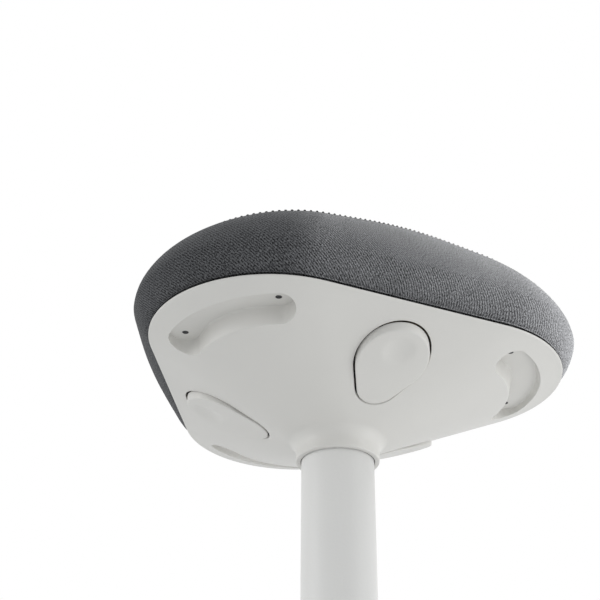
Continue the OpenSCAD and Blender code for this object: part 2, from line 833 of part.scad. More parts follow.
module collar() {
  bore_r = cover_ro + collar_gap;
  lip_r = bore_r + shell_wall - 0.3;
  tilt = 90 - atan(bowl_tan);
  end_r = lip_r + collar_fillet * (1 - cos(tilt));
  start_z = bowl_z(end_r) - 1 - collar_fillet * sin(tilt);
  foot_z = -bowl_depth - collar_len;
  translate([0, 0, rim_h])
  rotate_extrude() polygon(concat(
    [[bore_r, foot_z], [lip_r - 1, foot_z], [lip_r, foot_z + 1]],
    [for (i = [0:6]) let (a = tilt * i / 6)
      [lip_r + collar_fillet * (1 - cos(a)), start_z + collar_fillet * sin(a)]],
    [[end_r, bowl_z(end_r) + 2], [bore_r, bowl_z(end_r) + 2]]
  ));
}

module bottom_shell() {
  lift = shell_wall / cos(atan(bowl_tan));
  color([0.86, 0.86, 0.84])
  difference() {
    union() {
      difference() {
        union() {
          bowl(0);
          collar();
        }
        bowl(lift);
      }
      intersection() {
        translate([0, 0, rim_h - cut_h]) linear_extrude(cut_h - recess_floor + recess_wall)
          at_angles(CORNERS) recess_outline(recess_wall);
        bowl(0);
      }
      at_lobes() translate([0, 0, rim_h - recess_floor])
        cylinder(r = shell_boss_r, h = recess_floor + board_z - rim_h);
    }
    translate([0, 0, rim_h - cut_h]) linear_extrude(cut_h - recess_floor)
      at_angles(CORNERS) recess_outline();
    translate([0, 0, rim_h - cut_h]) linear_extrude(cut_h + 1) at_angles(LEVERS) teardrop(lever_gap);
    translate([0, 0, rim_h - cut_h]) cylinder(r = cover_ro + collar_gap, h = cut_h);
    at_lobes() translate([0, 0, rim_h - recess_floor - 1]) {
      cylinder(r = shell_hole_r, h = head_seat_z - rim_h + recess_floor + 1);
      cylinder(r = shell_shank_r + run, h = recess_floor + board_z - rim_h + 2);
    }
  }
}

module shell_screws() {
  color([0.3, 0.3, 0.31])
  at_lobes() {
    translate([0, 0, head_seat_z - shell_head_h]) cylinder(r = shell_head_r, h = shell_head_h);
    translate([0, 0, head_seat_z - 1]) cylinder(r = shell_shank_r, h = board_t);
  }
}

module lever_pins() {
  color([0.75, 0.75, 0.77])
  at_angles(LEVERS) translate([pivot_d, 0, rim_h + pivot_z]) rotate([90, 0, 0])
    cylinder(r = pivot_pin_d / 2, h = pin_len, center = true);
}

module star_spring() {
  color([0.55, 0.56, 0.6])
  translate([0, 0, pin_top]) {
    cylinder(r = 6, h = star_t);
    at_angles(LEVERS) translate([0, -star_w / 2, 0]) cube([star_r, star_w, star_t]);
  }
}

// Slice of the paddle's outline between two depths behind its face
module paddle_slab(inset, from, to) {
  wide = 2 * lever_out;
  intersection() {
    translate([0, 0, -cut_h]) linear_extrude(cut_h) teardrop(-inset);
    translate([lever_in, 0, lever_in_z]) rotate([0, -lever_tilt, 0])
      translate([-wide / 2, -wide / 2, from]) cube([wide, wide, to]);
  }
}

// Lever along +X: the paddle fills its opening, and the arm ends over the valve pin
module lever() {
  back = function (d) lever_in_z + (d - lever_in) * lever_tan + paddle_back;
  face = back(dimple_d) - paddle_back;
  away = dimple_r - dimple_depth;
  color([0.86, 0.86, 0.84])
  translate([0, 0, rim_h])
  difference() {
    union() {
      difference() {
        paddle_slab(0, 0, paddle_wall_h);
        paddle_slab(paddle_wall_t, paddle_t, paddle_wall_h);
      }
      translate([0, arm_w / 2, 0]) rotate([90, 0, 0]) linear_extrude(arm_w) polygon([
        [arm_tip, arm_under], [arm_tip, arm_under + arm_t], [arm_neck, arm_under + arm_t],
        [pivot_d, pivot_z + pivot_hub_r], [web_out, back(web_out) + 2], [web_out, back(web_out) - 1],
        [web_in, back(web_in) - 1], [lever_in - 2, pivot_z - pivot_hub_r], [star_r + 3, arm_under]
      ]);
      translate([pivot_d, 0, pivot_z]) rotate([90, 0, 0])
        cylinder(r = pivot_hub_r, h = pivot_hub_w, center = true);
    }
    translate([pivot_d, 0, pivot_z]) rotate([90, 0, 0])
      cylinder(r = pivot_pin_d / 2 + run, h = pivot_hub_w + 2, center = true);
    translate([dimple_d + away * sin(lever_tilt), 0, face - away * cos(lever_tilt)])
      sphere(r = dimple_r);
  }
}

module lever_front() {
  rotate(LEVER_FRONT_A) lever();
}

module lever_right() {
  rotate(LEVER_RIGHT_A) lever();
}

module lever_left() {
  rotate(LEVER_LEFT_A) lever();
}

module valve_pin() {
  color([0.8, 0.7, 0.35])
  translate([0, 0, cone_z - cyl_head + 2]) cylinder(r = pin_r, h = pin_top - cone_z + cyl_head - 2);
}

rubber_sole();
base_pan();
ballast_disc();
flange_bolts();
base_cover();
base_screws();
neck_ring();
stand_tube();
guide_sleeve();
lower_race();
bearing_cage();
bearing_balls();
upper_race();
rod_clip();
bump_stop();
piston_rod();
piston();
piston_seal();
gas_cylinder();
cylinder_cap();
cover_tube();
glide_bush();
tube_screws();
cone_socket();
seat_plate();
plate_bolts();
tee_nuts();
seat_board();
foam_pad();
seat_cover();
hem_staples();
bottom_shell();
shell_screws();
lever_pins();
star_spring();
lever_front();
lever_right();
lever_left();
valve_pin();
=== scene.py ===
"""Sit-stand stool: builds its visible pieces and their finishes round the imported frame.

Lengths are millimetres while a shape is worked out, and metres from the moment it is a mesh.
"""
import json
from math import acos, atan, atan2, cos, pi, radians, sin, sqrt, tan

import bmesh
import bpy
import numpy as np
from mathutils import Matrix, Vector
from mathutils.bvhtree import BVHTree
from mathutils.geometry import delaunay_2d_cdt


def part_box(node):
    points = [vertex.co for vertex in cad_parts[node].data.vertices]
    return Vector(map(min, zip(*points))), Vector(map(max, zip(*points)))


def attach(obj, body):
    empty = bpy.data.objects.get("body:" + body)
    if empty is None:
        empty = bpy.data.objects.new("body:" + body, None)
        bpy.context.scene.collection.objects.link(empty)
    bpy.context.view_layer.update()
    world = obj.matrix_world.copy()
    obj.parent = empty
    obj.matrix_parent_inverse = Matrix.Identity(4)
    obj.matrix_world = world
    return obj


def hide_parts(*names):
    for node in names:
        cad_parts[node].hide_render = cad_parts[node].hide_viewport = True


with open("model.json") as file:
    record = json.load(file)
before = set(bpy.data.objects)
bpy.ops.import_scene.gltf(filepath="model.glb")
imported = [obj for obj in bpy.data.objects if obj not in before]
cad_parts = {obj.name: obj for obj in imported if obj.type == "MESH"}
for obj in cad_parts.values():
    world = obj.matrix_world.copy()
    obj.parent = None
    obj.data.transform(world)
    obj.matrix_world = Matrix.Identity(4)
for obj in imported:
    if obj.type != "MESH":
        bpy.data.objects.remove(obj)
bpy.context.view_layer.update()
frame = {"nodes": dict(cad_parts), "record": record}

bl_info = {
    "name": "Sit-stand stool",
    "version": (1, 0, 0),
    "blender": (4, 5, 0),
    "location": "View3D > Sidebar > Stool",
    "description": "Builds the cushion, shell, levers, column and base of a sit-stand stool",
    "category": "Add Mesh",
}

MM = 0.001
TAU = 2 * pi
CORNERS = [radians(a) for a in (90, 210, 330)]
LEVERS = {"lever_front": radians(270), "lever_right": radians(30), "lever_left": radians(150)}
BODY_OF = {node: body for body, nodes in frame["record"]["behaviour"]["bodies"].items() for node in nodes}
SLOT_OF = {entry["node"]: entry["material_slot"] for entry in frame["record"]["subparts"]}


def cad(node):
    """Lowest and highest corner of a frame node, in millimetres."""
    low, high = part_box(node)
    return np.array(low) / MM, np.array(high) / MM


# Rounded triangle of the seat, and the height of the shell's rim
BOARD_Z = cad("seat_board")[0][2]
RIM = BOARD_Z - 2
CORNER_D = 2 * (cad("bottom_shell")[1][1] + cad("bottom_shell")[0][1])
CORNER_R = cad("bottom_shell")[1][1] - CORNER_D
SIDE = CORNER_D / 2 + CORNER_R
RIM_ROUND = 1.2
LAND_DIP, LAND_REACH = 0.9, 5

# Bowl and collar of the shell, below the rim
BOWL_DEPTH = 58.5
BOWL_FOOT_R = 32
BOWL_TAN = BOWL_DEPTH / (SIDE - BOWL_FOOT_R)
WALL_UP = 3 / cos(atan(BOWL_TAN))
COLLAR_TOP_R = 41
COLLAR_BORE = 30.6
COLLAR_R = 34.5
COLLAR_FOOT = -73
COLLAR_COUNT = 160
FILLET_R = 12

# Hand recesses. Their wall and its rounded lip grow softer near the middle of the inner side.
RECESS_D = 73
RECESS_R = 85
RECESS_HALF_W = 13
RECESS_HALF_A = radians(32.8)
RECESS_FLOOR = -1.6
RECESS_WALL = 2.5
LIP, LIP_MORE = 0.4, 1.2
DRAFT, DRAFT_MORE = 0.9, 2.2
EASE_A, EASE_R = radians(24), 9

# Screws that hold the shell
SCREW_ALONG = RECESS_D + RECESS_R * cos(RECESS_HALF_A)
SCREW_ACROSS = RECESS_R * sin(RECESS_HALF_A)
SCREW_HOLE_R = 2.55
SCREW_SHANK_R = 1.65
HOLE_ROUND = 0.35
HOLE_COUNT = 28
BOSS_R, BOSS_EDGE = 5.5, 0.4

# Lever paddles and their openings
WIDE_D, WIDE_R = 99.5, 29.5
NARROW_D, NARROW_R = 77, 18.5
LEVER_GAP = 1.2
OPENING_ROUND = 0.7
PADDLE_T = 5
SKIRT_H, SKIRT_T = 7, 1.8
PADDLE_LESS = 0.3
PIVOT = (66, -24)
HUB_R, HUB_BORE = 6, 2.55
HUB_HALF = 10
ARM_HALF = 4
FACE_IN = (58.5, -45.38)
FACE_TAN = 0.4304
FACE_COS = cos(atan(FACE_TAN))
DIMPLE_AT = (129.06, -67.5)
DIMPLE_R = 50

# Cushion. The second number of a pair is added towards the middle of a side.
COVER_T = 1.5
SEAM_U = 1.855
GAP = 2.4
BELLY, BELLY_MORE = 12.5, 6.8
BELLY_Z = 23.4
BELLY_POWER = 1.6
SIDE_IN, SIDE_IN_MORE = -63.5, 1.7
SIDE_RISE, SIDE_RISE_MORE = 56.6, 12.1
SIDE_POWER = 1.27
SIDE_END = radians(66)
CROWN_Z = 100
STITCH_SLANT = 0.6
INNER_ROWS = slice(8, None, 3)
BOARD_INSET, BOARD_TOP = 7.6, 12.3
FOAM_TOP, FOAM_LESS = 98, 0.3

# The seam against a circle of its mean radius, how far the seam and its puckers reach, and how far
# every other hole of the seam is drawn in or let out
SEAM_LONGER = 1.006
SEAM_REACH, PUCKER_REACH = 1.4, 1.6
PUCKER_IN, PUCKER_OUT = 0.35, -0.2
SWELL_LIMIT = 2

# Column and base
TUBE_T = 2
GLIDE_BORE, GLIDE_R = 25.05, 27.97
NECK_BORE = 25.03

# Camera, in metres, and its lens in millimetres
CAMERA_SPOT = (-0.3872, -0.7985, 0.1398)
CAMERA_AIM = (0.34377, 0.77981, 0.52321)
CAMERA_TURN, CAMERA_ROLL = radians(-23.791), radians(0.4832)
CAMERA_LENS, CAMERA_SENSOR = 69.84, 36


# Shapes

def corner_angle(t):
    """Angle from the nearest corner, from 0 to 60 degrees, in radians."""
    m = np.mod(t - CORNERS[0], TAU / 3)
    return np.minimum(m, TAU / 3 - m)


def outline(t):
    """Distance from the axis to the rim's rounded triangle."""
    a = corner_angle(t)
    turn = atan2(CORNER_R * sin(pi / 3), CORNER_D + CORNER_R / 2)
    bend = CORNER_D * np.cos(a) + np.sqrt(CORNER_R**2 - (CORNER_D * np.sin(a)) ** 2)
    return np.where(a <= turn, bend, SIDE / np.cos(pi / 3 - a))


def side_share(t):
    """0 at a corner and 1 at the middle of a side."""
    return (1 - np.cos(3 * corner_angle(t))) / 2


def profile(t, u):
    """Distance from the axis and height above the rim on the cushion, for angles t and one u from 0 to 3."""
    share, rim = side_share(t), outline(t)
    belly = BELLY + BELLY_MORE * share
    if u <= 1:
        a = u * pi / 2
        rise = (BELLY_Z - GAP) * (1 - max(cos(a), 0) ** BELLY_POWER)
        return np.array([rim + belly * sin(a) ** BELLY_POWER, GAP + rise + 0 * t])

    def side(a):
        s = 1 - cos(a) ** SIDE_POWER
        rise = (SIDE_RISE + SIDE_RISE_MORE * share) * sin(a) ** SIDE_POWER
        return np.array([rim + belly + SIDE_IN * s + SIDE_IN_MORE * s * share, BELLY_Z + rise])

    if u <= 2:
        return side(SIDE_END * (u - 1))
    edge, before = side(SIDE_END), side(SIDE_END - radians(1))
    slope = (edge[1] - before[1]) / (before[0] - edge[0])
    rise = CROWN_Z - edge[1]
    q = max(3 - u, 0)
    return np.array([edge[0] * q, edge[1] + rise * (1 - q ** (slope * edge[0] / rise))])


def around(count):
    """Directions spread evenly over a full turn."""
    return TAU * np.arange(count) / count


def arc(middle, radius, turn):
    """Points round a middle, in the directions turn."""
    return np.array(middle) + radius * np.stack([np.cos(turn), np.sin(turn)], -1)


def circle(radius, count, middle=(0, 0)):
    return arc(middle, radius, around(count))


def straight(a, b, count):
    """Points from a to b, both left out."""
    part = np.linspace(0, 1, count + 2)[1:-1, None]
    return a * (1 - part) + b * part


def ring(t, r, z):
    """Points in the directions t, at the distance r from the axis and the height z."""
    return np.stack([r * np.cos(t), r * np.sin(t), z + 0 * t], -1)


def rotated(points, angle):
    c, s = cos(angle), sin(angle)
    return points @ np.array([[c, s], [-s, c]])


def cushion_grid(rows, t):
    """Points of the cushion's outside for each u in rows and each angle in t, and outward normals."""
    flat = np.array([profile(t, u) for u in rows])
    ahead = np.array([profile(t, min(u + 0.01, 2.999)) for u in rows])
    behind = np.array([profile(t, max(u - 0.01, 0.01)) for u in rows])
    step = ahead - behind
    step /= np.linalg.norm(step, axis=1)[:, None]
    return ring(t, flat[:, 0], flat[:, 1] + RIM), ring(t, step[:, 1], -step[:, 0])


def smooth_step(x):
    x = np.clip(x, 0, 1)
    return x * x * (3 - 2 * x)


def bowl_z(x, y):
    """Height of the bowl's outer face below the rim: a hull between the rim and the foot circle."""
    rho, a = np.hypot(x, y), corner_angle(np.arctan2(y, x))
    px, py = rho * np.cos(a), rho * np.sin(a)
    low, high = np.zeros_like(rho), np.ones_like(rho)
    for _ in range(40):
        s = (low + high) / 2
        d, r = CORNER_D * (1 - s), CORNER_R * (1 - s) + BOWL_FOOT_R * s
        beside = 0.5 * py - sqrt(0.75) * (px - d)
        side = 0.5 * px + sqrt(0.75) * py - d / 2
        away = np.where(beside <= 0, np.hypot(px - d, py), side) - r
        low, high = np.where(away < 0, s, low), np.where(away < 0, high, s)
    return -BOWL_DEPTH * (low + high) / 2


def turned(x, y, angle):
    """Coordinates along and across a direction."""
    return x * cos(angle) + y * sin(angle), y * cos(angle) - x * sin(angle)


def recess_place(x, y, corner):
    """Distance outside a hand recess, angle along it, and distance from its arc's centre."""
    px, py = turned(x, y, corner)
    px = px - RECESS_D
    phi, rho = np.abs(np.arctan2(py, px)), np.hypot(px, py)
    ends = np.hypot(px - RECESS_R * cos(RECESS_HALF_A), np.abs(py) - SCREW_ACROSS)
    return np.where(phi <= RECESS_HALF_A, np.abs(rho - RECESS_R), ends) - RECESS_HALF_W, phi, rho


def recess_share(x, y, grow=0.0, soft=1.0):
    """1 on a recess floor, 0 outside, with a steep wall that eases off along the middle of its inner side."""
    share = np.zeros_like(x)
    for corner in CORNERS:
        out, phi, rho = recess_place(x, y, corner)
        along = smooth_step((RECESS_HALF_A - phi) / EASE_A)
        eased = along * smooth_step((RECESS_R - rho) / EASE_R)
        sloped = along * smooth_step((rho - RECESS_R) / EASE_R)
        lip = LIP + LIP_MORE * eased * soft
        draft = DRAFT + (DRAFT_MORE * eased + DRAFT_MORE * sloped) * soft
        share = np.maximum(share, smooth_step((lip + grow - out) / (lip + draft)))
    return share


def screw_away(x, y):
    """Distance from the nearest screw hole's middle."""
    places = [turned(x, y, corner) for corner in CORNERS]
    return np.min([np.hypot(px - SCREW_ALONG, py - across)
                   for px, py in places for across in (-SCREW_ACROSS, SCREW_ACROSS)], axis=0)


def paddle_loop(grow):
    """Points round a paddle's outline, which lies along +X, moved outwards by grow."""
    turn = acos((WIDE_R - NARROW_R) / (WIDE_D - NARROW_D))
    wide = arc((WIDE_D, 0), WIDE_R + grow, np.linspace(turn - pi, pi - turn, 52))
    narrow = arc((NARROW_D, 0), NARROW_R + grow, np.linspace(pi - turn, pi + turn, 26))
    return np.concatenate([wide, straight(wide[-1], narrow[0], 14),
                           narrow, straight(narrow[-1], wide[0], 14)])


def paddle_away(x, y):
    """Distance outside a paddle's outline that lies along +X."""
    px, py = x - NARROW_D, np.abs(y)
    length = WIDE_D - NARROW_D
    lean = (WIDE_R - NARROW_R) / length
    level = sqrt(1 - lean * lean)
    along = py * lean + px * level
    beside = px * (-lean) + py * level - NARROW_R
    return np.where(along < 0, np.hypot(px, py) - NARROW_R,
                    np.where(along > length * level, np.hypot(px - length, py) - WIDE_R, beside))


def openings_away(x, y):
    """Distance outside the nearest paddle's outline, whichever way it points."""
    return np.min([paddle_away(*turned(x, y, a)) for a in LEVERS.values()], axis=0)


def edge_roll(away, radius):
    """How far a surface turns back within radius of an edge."""
    d = np.clip(radius - away, 0, radius)
    return radius - np.sqrt(radius**2 - d**2)


def rim_inset(x, y):
    """Distance in from the rim's outline, along the line to the axis."""
    return outline(np.arctan2(y, x)) - np.hypot(x, y)


def shell_outside(x, y):
    """Height of the shell's outer face, from the rim."""
    inset = np.maximum(rim_inset(x, y), 0)
    land = bowl_z(x, y) - LAND_DIP * np.exp(-inset / LAND_REACH) + edge_roll(inset, RIM_ROUND)
    share = recess_share(x, y)
    z = land * (1 - share) + RECESS_FLOOR * share
    z = z + edge_roll(openings_away(x, y) - LEVER_GAP, OPENING_ROUND)
    return z + edge_roll(screw_away(x, y) - SCREW_HOLE_R, HOLE_ROUND)


def shell_inside(x, y):
    """Height of the shell's inner face, from the rim."""
    bowl = np.minimum(bowl_z(x, y) + WALL_UP, 0)
    share = recess_share(x, y, RECESS_WALL, 0.6)
    z = bowl * (1 - share) + (RECESS_FLOOR + RECESS_WALL) * share
    boss = smooth_step((BOSS_R + BOSS_EDGE - screw_away(x, y)) / BOSS_EDGE)
    z = z * (1 - boss) + (BOARD_Z - RIM) * boss
    return z - edge_roll(np.maximum(rim_inset(x, y), 0), 0.1)


def band_loop(half_w, corner):
    """Points round a hand recess's outline of that half width."""
    a = RECESS_HALF_A
    tip = RECESS_R * np.array([cos(a), sin(a)])
    loop = np.concatenate([
        arc((0, 0), RECESS_R + half_w, np.linspace(-a, a, 52)),
        arc(tip, half_w, np.linspace(a, a + pi, 22)[1:-1]),
        arc((0, 0), RECESS_R - half_w, np.linspace(a, -a, 52)),
        arc(tip * (1, -1), half_w, np.linspace(pi - a, TAU - a, 22)[1:-1]),
    ])
    return rotated(loop + (RECESS_D, 0), corner)


def rim_loop(inset):
    """Points round the rim's outline, moved inwards."""
    turn, radius, parts = np.linspace(-pi / 3, pi / 3, 110), CORNER_R - inset, []
    for corner in CORNERS:
        after = corner + TAU / 3
        middle, next_middle = (CORNER_D * np.array([cos(a), sin(a)]) for a in (corner, after))
        bend = arc(middle, radius, turn + corner)
        start = next_middle + radius * np.array([cos(after - pi / 3), sin(after - pi / 3)])
        parts += [bend, straight(bend[-1], start, 40)]
    return np.concatenate(parts)


def filled(loops, inner, keep):
    """Triangles between boundary loops, through the inner points. keep tells from its middle if one stays."""
    points = np.concatenate([*loops, inner])
    edges, first = [], 0
    for loop in loops:
        n = len(loop)
        edges += [(first + i, first + (i + 1) % n) for i in range(n)]
        first += n
    made = delaunay_2d_cdt([Vector(p) for p in points.tolist()], edges, [], 0, 1e-7)
    if len(made[0]) != len(points):
        raise RuntimeError(f"the triangulation merged {len(points) - len(made[0])} points")
    faces = np.array(made[2])
    return points, faces[keep(*points[faces].mean(axis=1).T)]


def plain_grid(step, reach, keep):
    """Points of a staggered grid that keep accepts."""
    xs = np.arange(-reach, reach, step)
    points = np.concatenate([
        np.stack([xs + (step / 2 if i % 2 else 0) + 0.013 * i, np.full(len(xs), y)], -1)
        for i, y in enumerate(np.arange(-reach, reach, step * sqrt(0.75)))
    ])
    return points[keep(*points.T)]


class Build:
    """Vertices and faces of a piece as it grows, in millimetres. A ring is known by its first vertex."""

    def __init__(self):
        self.points, self.faces, self.count = [], [], 0

    def add(self, points, faces=()):
        first = self.count
        self.points.append(np.asarray(points, float))
        self.count += len(points)
        self.faces += (np.asarray(faces, int) + first).tolist()
        return first

    def join(self, a, b, count):
        """Faces between two rings."""
        i = np.arange(count)
        j = (i + 1) % count
        self.faces += np.stack([a + i, a + j, b + j, b + i], -1).tolist()

    def rings(self, first, loops, last=None):
        """Rings of points from the ring first, and on to the ring last."""
        for loop in loops:
            here = self.add(loop)
            self.join(first, here, len(loop))
            first = here
        if last is not None:
            self.join(first, last, len(loops[0]))
        return first

    def tube(self, loops):
        """Rings of points, joined one to the next. Gives the first and the last."""
        first = self.add(loops[0])
        return first, self.rings(first, loops[1:])

    def cap(self, at, count, z):
        """Closes a ring with a fan to a point on the axis."""
        tip = self.add([[0, 0, z]])
        self.faces += [[at + i, at + (i + 1) % count, tip] for i in range(count)]

    def piece(self, name, body, slot, look=None, sharp=35, turn=0.0, lift=0.0):
        """A smooth-shaded mesh that rides on a body, with its slot's finish unless look names another."""
        points = np.concatenate(self.points)
        if turn:
            points[:, :2] = rotated(points[:, :2], turn)
        points[:, 2] += lift
        mesh = bpy.data.meshes.new(name)
        mesh.from_pydata((points * MM).tolist(), [], self.faces)
        work = bmesh.new()
        work.from_mesh(mesh)
        bmesh.ops.recalc_face_normals(work, faces=work.faces)
        for face in work.faces:
            face.smooth = True
        work.to_mesh(mesh)
        work.free()
        mesh.set_sharp_from_angle(angle=radians(sharp))
        mesh.materials.append(finish(look or slot))
        piece = bpy.data.objects.new(name, mesh)
        bpy.context.scene.collection.objects.link(piece)
        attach(piece, body)
        return piece


def eased_corners(corners, steps=5):
    """A closed profile whose corners, given as (r, z, radius), become arcs."""
    spots = [np.array(corner[:2], float) for corner in corners]
    out = []
    for i, (here, corner) in enumerate(zip(spots, corners)):
        if corner[2] <= 0:
            out.append(here)
            continue
        before, after = spots[i - 1] - here, spots[(i + 1) % len(spots)] - here
        lb, la = np.linalg.norm(before), np.linalg.norm(after)
        before, after = before / lb, after / la
        half = acos(np.clip(before @ after, -1, 1)) / 2
        cut = min(corner[2] / tan(half), 0.49 * lb, 0.49 * la)
        middle = here + (before + after) / np.linalg.norm(before + after) * (cut * tan(half)) / sin(half)
        a, b = here + before * cut - middle, here + after * cut - middle
        sweep = acos(np.clip(a @ b / (np.linalg.norm(a) * np.linalg.norm(b)), -1, 1))
        for f in (k / steps for k in range(steps + 1)):
            out.append(middle + (sin((1 - f) * sweep) * a + sin(f * sweep) * b) / sin(sweep))
    return out


def turned_piece(name, loop, body, slot, count=128):
    """A ring turned from a closed profile of (r, z) points, z from the floor."""
    build = Build()
    rings = [ring(around(count), r, z) for r, z in loop]
    first = build.add(rings[0])
    build.rings(first, rings[1:], first)
    return build.piece(name, body, slot)


# Materials

class Signal:
    """A socket's value; arithmetic on it adds Math nodes."""

    def __init__(self, nodes, socket):
        self.nodes, self.socket = nodes, socket

    def __add__(self, other):
        return self.nodes.math("ADD", self, other)

    def __sub__(self, other):
        return self.nodes.math("SUBTRACT", self, other)

    def __rsub__(self, other):
        return self.nodes.math("SUBTRACT", other, self)

    def __mul__(self, other):
        return self.nodes.math("MULTIPLY", self, other)

    __radd__, __rmul__ = __add__, __mul__


class Nodes:
    """A node tree whose nodes are added one by one."""

    def __init__(self, tree):
        self.tree = tree

    def node(self, kind, settings=None, values=None, output=0):
        """One node: its settings first, then the values or links of its sockets."""
        made = self.tree.nodes.new("ShaderNode" + kind)
        for key, value in (settings or {}).items():
            if key == "stops":
                ramp = made.color_ramp
                while len(ramp.elements) < len(value):
                    ramp.elements.new(0.5)
                for element, (place, colour) in zip(ramp.elements, value):
                    element.position, element.color = place, (*colour, 1)
            else:
                setattr(made, key, value)
        for key, value in (values or {}).items():
            self.feed(made.inputs[key], value)
        return Signal(self, made.outputs[output]) if made.outputs else None

    def feed(self, socket, value):
        if isinstance(value, Signal):
            self.tree.links.new(value.socket, socket)
        else:
            socket.default_value = (*value[:3], 1) if socket.type == "RGBA" else value

    def math(self, operation, *values):
        return self.node("Math", {"operation": operation}, dict(enumerate(values)))

    def levels(self, value, low, high, to_low=0.0, to_high=1.0):
        """Moves the range from low to high to another range."""
        return self.node("MapRange", None, {"Value": value, "From Min": low, "From Max": high,
                                            "To Min": to_low, "To Max": to_high})


class Finish(Nodes):
    """A material, whose textures lie in the frame in metres, or on a UV map."""

    def __init__(self, name, uv_map=None):
        self.material = bpy.data.materials.new(name)
        self.material.use_nodes = True
        super().__init__(self.material.node_tree)
        self.shader = self.tree.nodes["Principled BSDF"]
        self.place = self.node("UVMap", {"uv_map": uv_map}) if uv_map else self.node("TexCoord", output=3)

    def scaled(self, scale):
        return self.node("VectorMath", {"operation": "MULTIPLY"}, {0: self.place, 1: scale})

    def noise(self, scale, detail=2.0, roughness=0.5, distortion=0.0, place=None):
        return self.node("TexNoise", None, {"Vector": place or self.place, "Scale": scale, "Detail": detail,
                                            "Roughness": roughness, "Distortion": distortion})

    def cells(self, scale, **settings):
        return self.node("TexVoronoi", settings, {"Vector": self.place, "Scale": scale})

    def blend(self, share, a, b):
        """Colour a where share is 0 and b where it is 1."""
        return self.node("Mix", {"data_type": "RGBA"}, {0: share, 6: a, 7: b}, 2)

    def parts(self, place):
        """x, y and z of a vector."""
        first = self.node("SeparateXYZ", None, {0: place})
        return [Signal(self, s) for s in first.socket.node.outputs]

    def bump(self, height, depth, strength=1.0, **under):
        return self.node("Bump", None, {"Height": height, "Distance": depth, "Strength": strength, **under})

    def surface(self, **values):
        """Feeds the shader: names in lower case with underscores."""
        for key, value in values.items():
            self.feed(self.shader.inputs[key.replace("_", " ").title()], value)
        return self.material


def shade(colour, factor):
    return tuple(min(c * factor, 1.0) for c in colour[:3])


def moulded_plastic(name, colour, roughness=0.5, grain=1500, grain_depth=0.00005, drift=0.03):
    """Moulded plastic with a fine spark-eroded grain and a slow drift of tone."""
    f = Finish(name)
    slow = f.noise(9, 3)
    fine = f.noise(grain, 2, 0.6)
    height = fine * 0.6 + f.cells(grain * 0.6) * 0.4
    tone = f.levels(slow * 0.7 + fine * 0.3, 0.3, 0.7)
    return f.surface(
        base_color=f.blend(tone, shade(colour, 1 - drift), shade(colour, 1 + drift)),
        roughness=f.levels(fine, 0.3, 0.7, roughness - 0.05, roughness + 0.05),
        normal=f.bump(height, grain_depth),
    )


def powder_paint(name, colour, roughness=0.42):
    """Powder paint with the low waves that it sets in."""
    f = Finish(name)
    waves = f.noise(420, 1, 0.4)
    specks = f.noise(2600, 2, 0.7)
    tone = f.levels(f.noise(7, 2) * 0.6 + specks * 0.4, 0.3, 0.7)
    return f.surface(
        base_color=f.blend(tone, shade(colour, 0.965), shade(colour, 1.03)),
        roughness=f.levels(specks, 0.3, 0.7, roughness - 0.04, roughness + 0.06),
        normal=f.bump(waves, 0.00012, 0.5),
    )


def worked_metal(name, colour, roughness=0.3, lines=(900, 900, 6000), marks=0.25, depth=0.00002):
    """Metal with tool marks drawn out along one direction, and duller smudges."""
    f = Finish(name)
    drawn = f.noise(1000, 3, 0.6, place=f.scaled([v / 1000 for v in lines]))
    smudge = f.noise(60, 3, 0.6)
    tone = f.levels(drawn * 0.5 + smudge * 0.5, 0.25, 0.75)
    return f.surface(
        base_color=f.blend(tone, shade(colour, 1 - marks / 2), shade(colour, 1 + marks / 3)),
        roughness=f.levels(smudge * 0.6 + drawn * 0.4, 0.3, 0.7, roughness - 0.06, roughness + 0.12),
        metallic=1.0,
        normal=f.bump(drawn, depth),
    )


def plated_steel(name, colour, tint):
    """Zinc-plated steel: a dull crystal bloom over bright metal, with a faint tint."""
    f = Finish(name)
    crystals = f.cells(700, feature="SMOOTH_F1")
    bloom = f.noise(180, 4, 0.65)
    return f.surface(
        base_color=f.blend(f.levels(bloom * 0.7 + crystals * 0.3, 0.3, 0.75), colour, tint),
        roughness=f.levels(bloom, 0.3, 0.7, 0.28, 0.46),
        metallic=1.0,
        normal=f.bump(bloom * 0.5 + crystals * 0.5, 0.00002),
    )


def cast_iron(name):
    """Rough casting under a thin coat of black paint that has worn on the high spots."""
    f = Finish(name)
    pits = f.noise(320, 5, 0.7)
    lumps = f.noise(70, 3, 0.5)
    worn = f.levels(pits * 0.6 + lumps * 0.4, 0.56, 0.68)
    return f.surface(
        base_color=f.blend(worn, (0.035, 0.035, 0.038), (0.16, 0.145, 0.13)),
        roughness=f.levels(pits, 0.3, 0.7, 0.6, 0.8),
        metallic=f.levels(worn, 0, 1, 0, 0.7),
        normal=f.bump(pits * 0.5 + lumps * 0.5, 0.0004),
    )


def soft_rubber(name, colour, roughness=0.72):
    """Rubber with moulding flow and a little dust in its fine texture."""
    f = Finish(name)
    fine = f.noise(1400, 3, 0.6)
    dust = f.noise(45, 4, 0.7)
    return f.surface(
        base_color=f.blend(f.levels(dust * 0.6 + fine * 0.4, 0.45, 0.75), colour, shade(colour, 1.8)),
        roughness=f.levels(dust, 0.3, 0.7, roughness, roughness + 0.12),
        normal=f.bump(fine, 0.00008),
    )


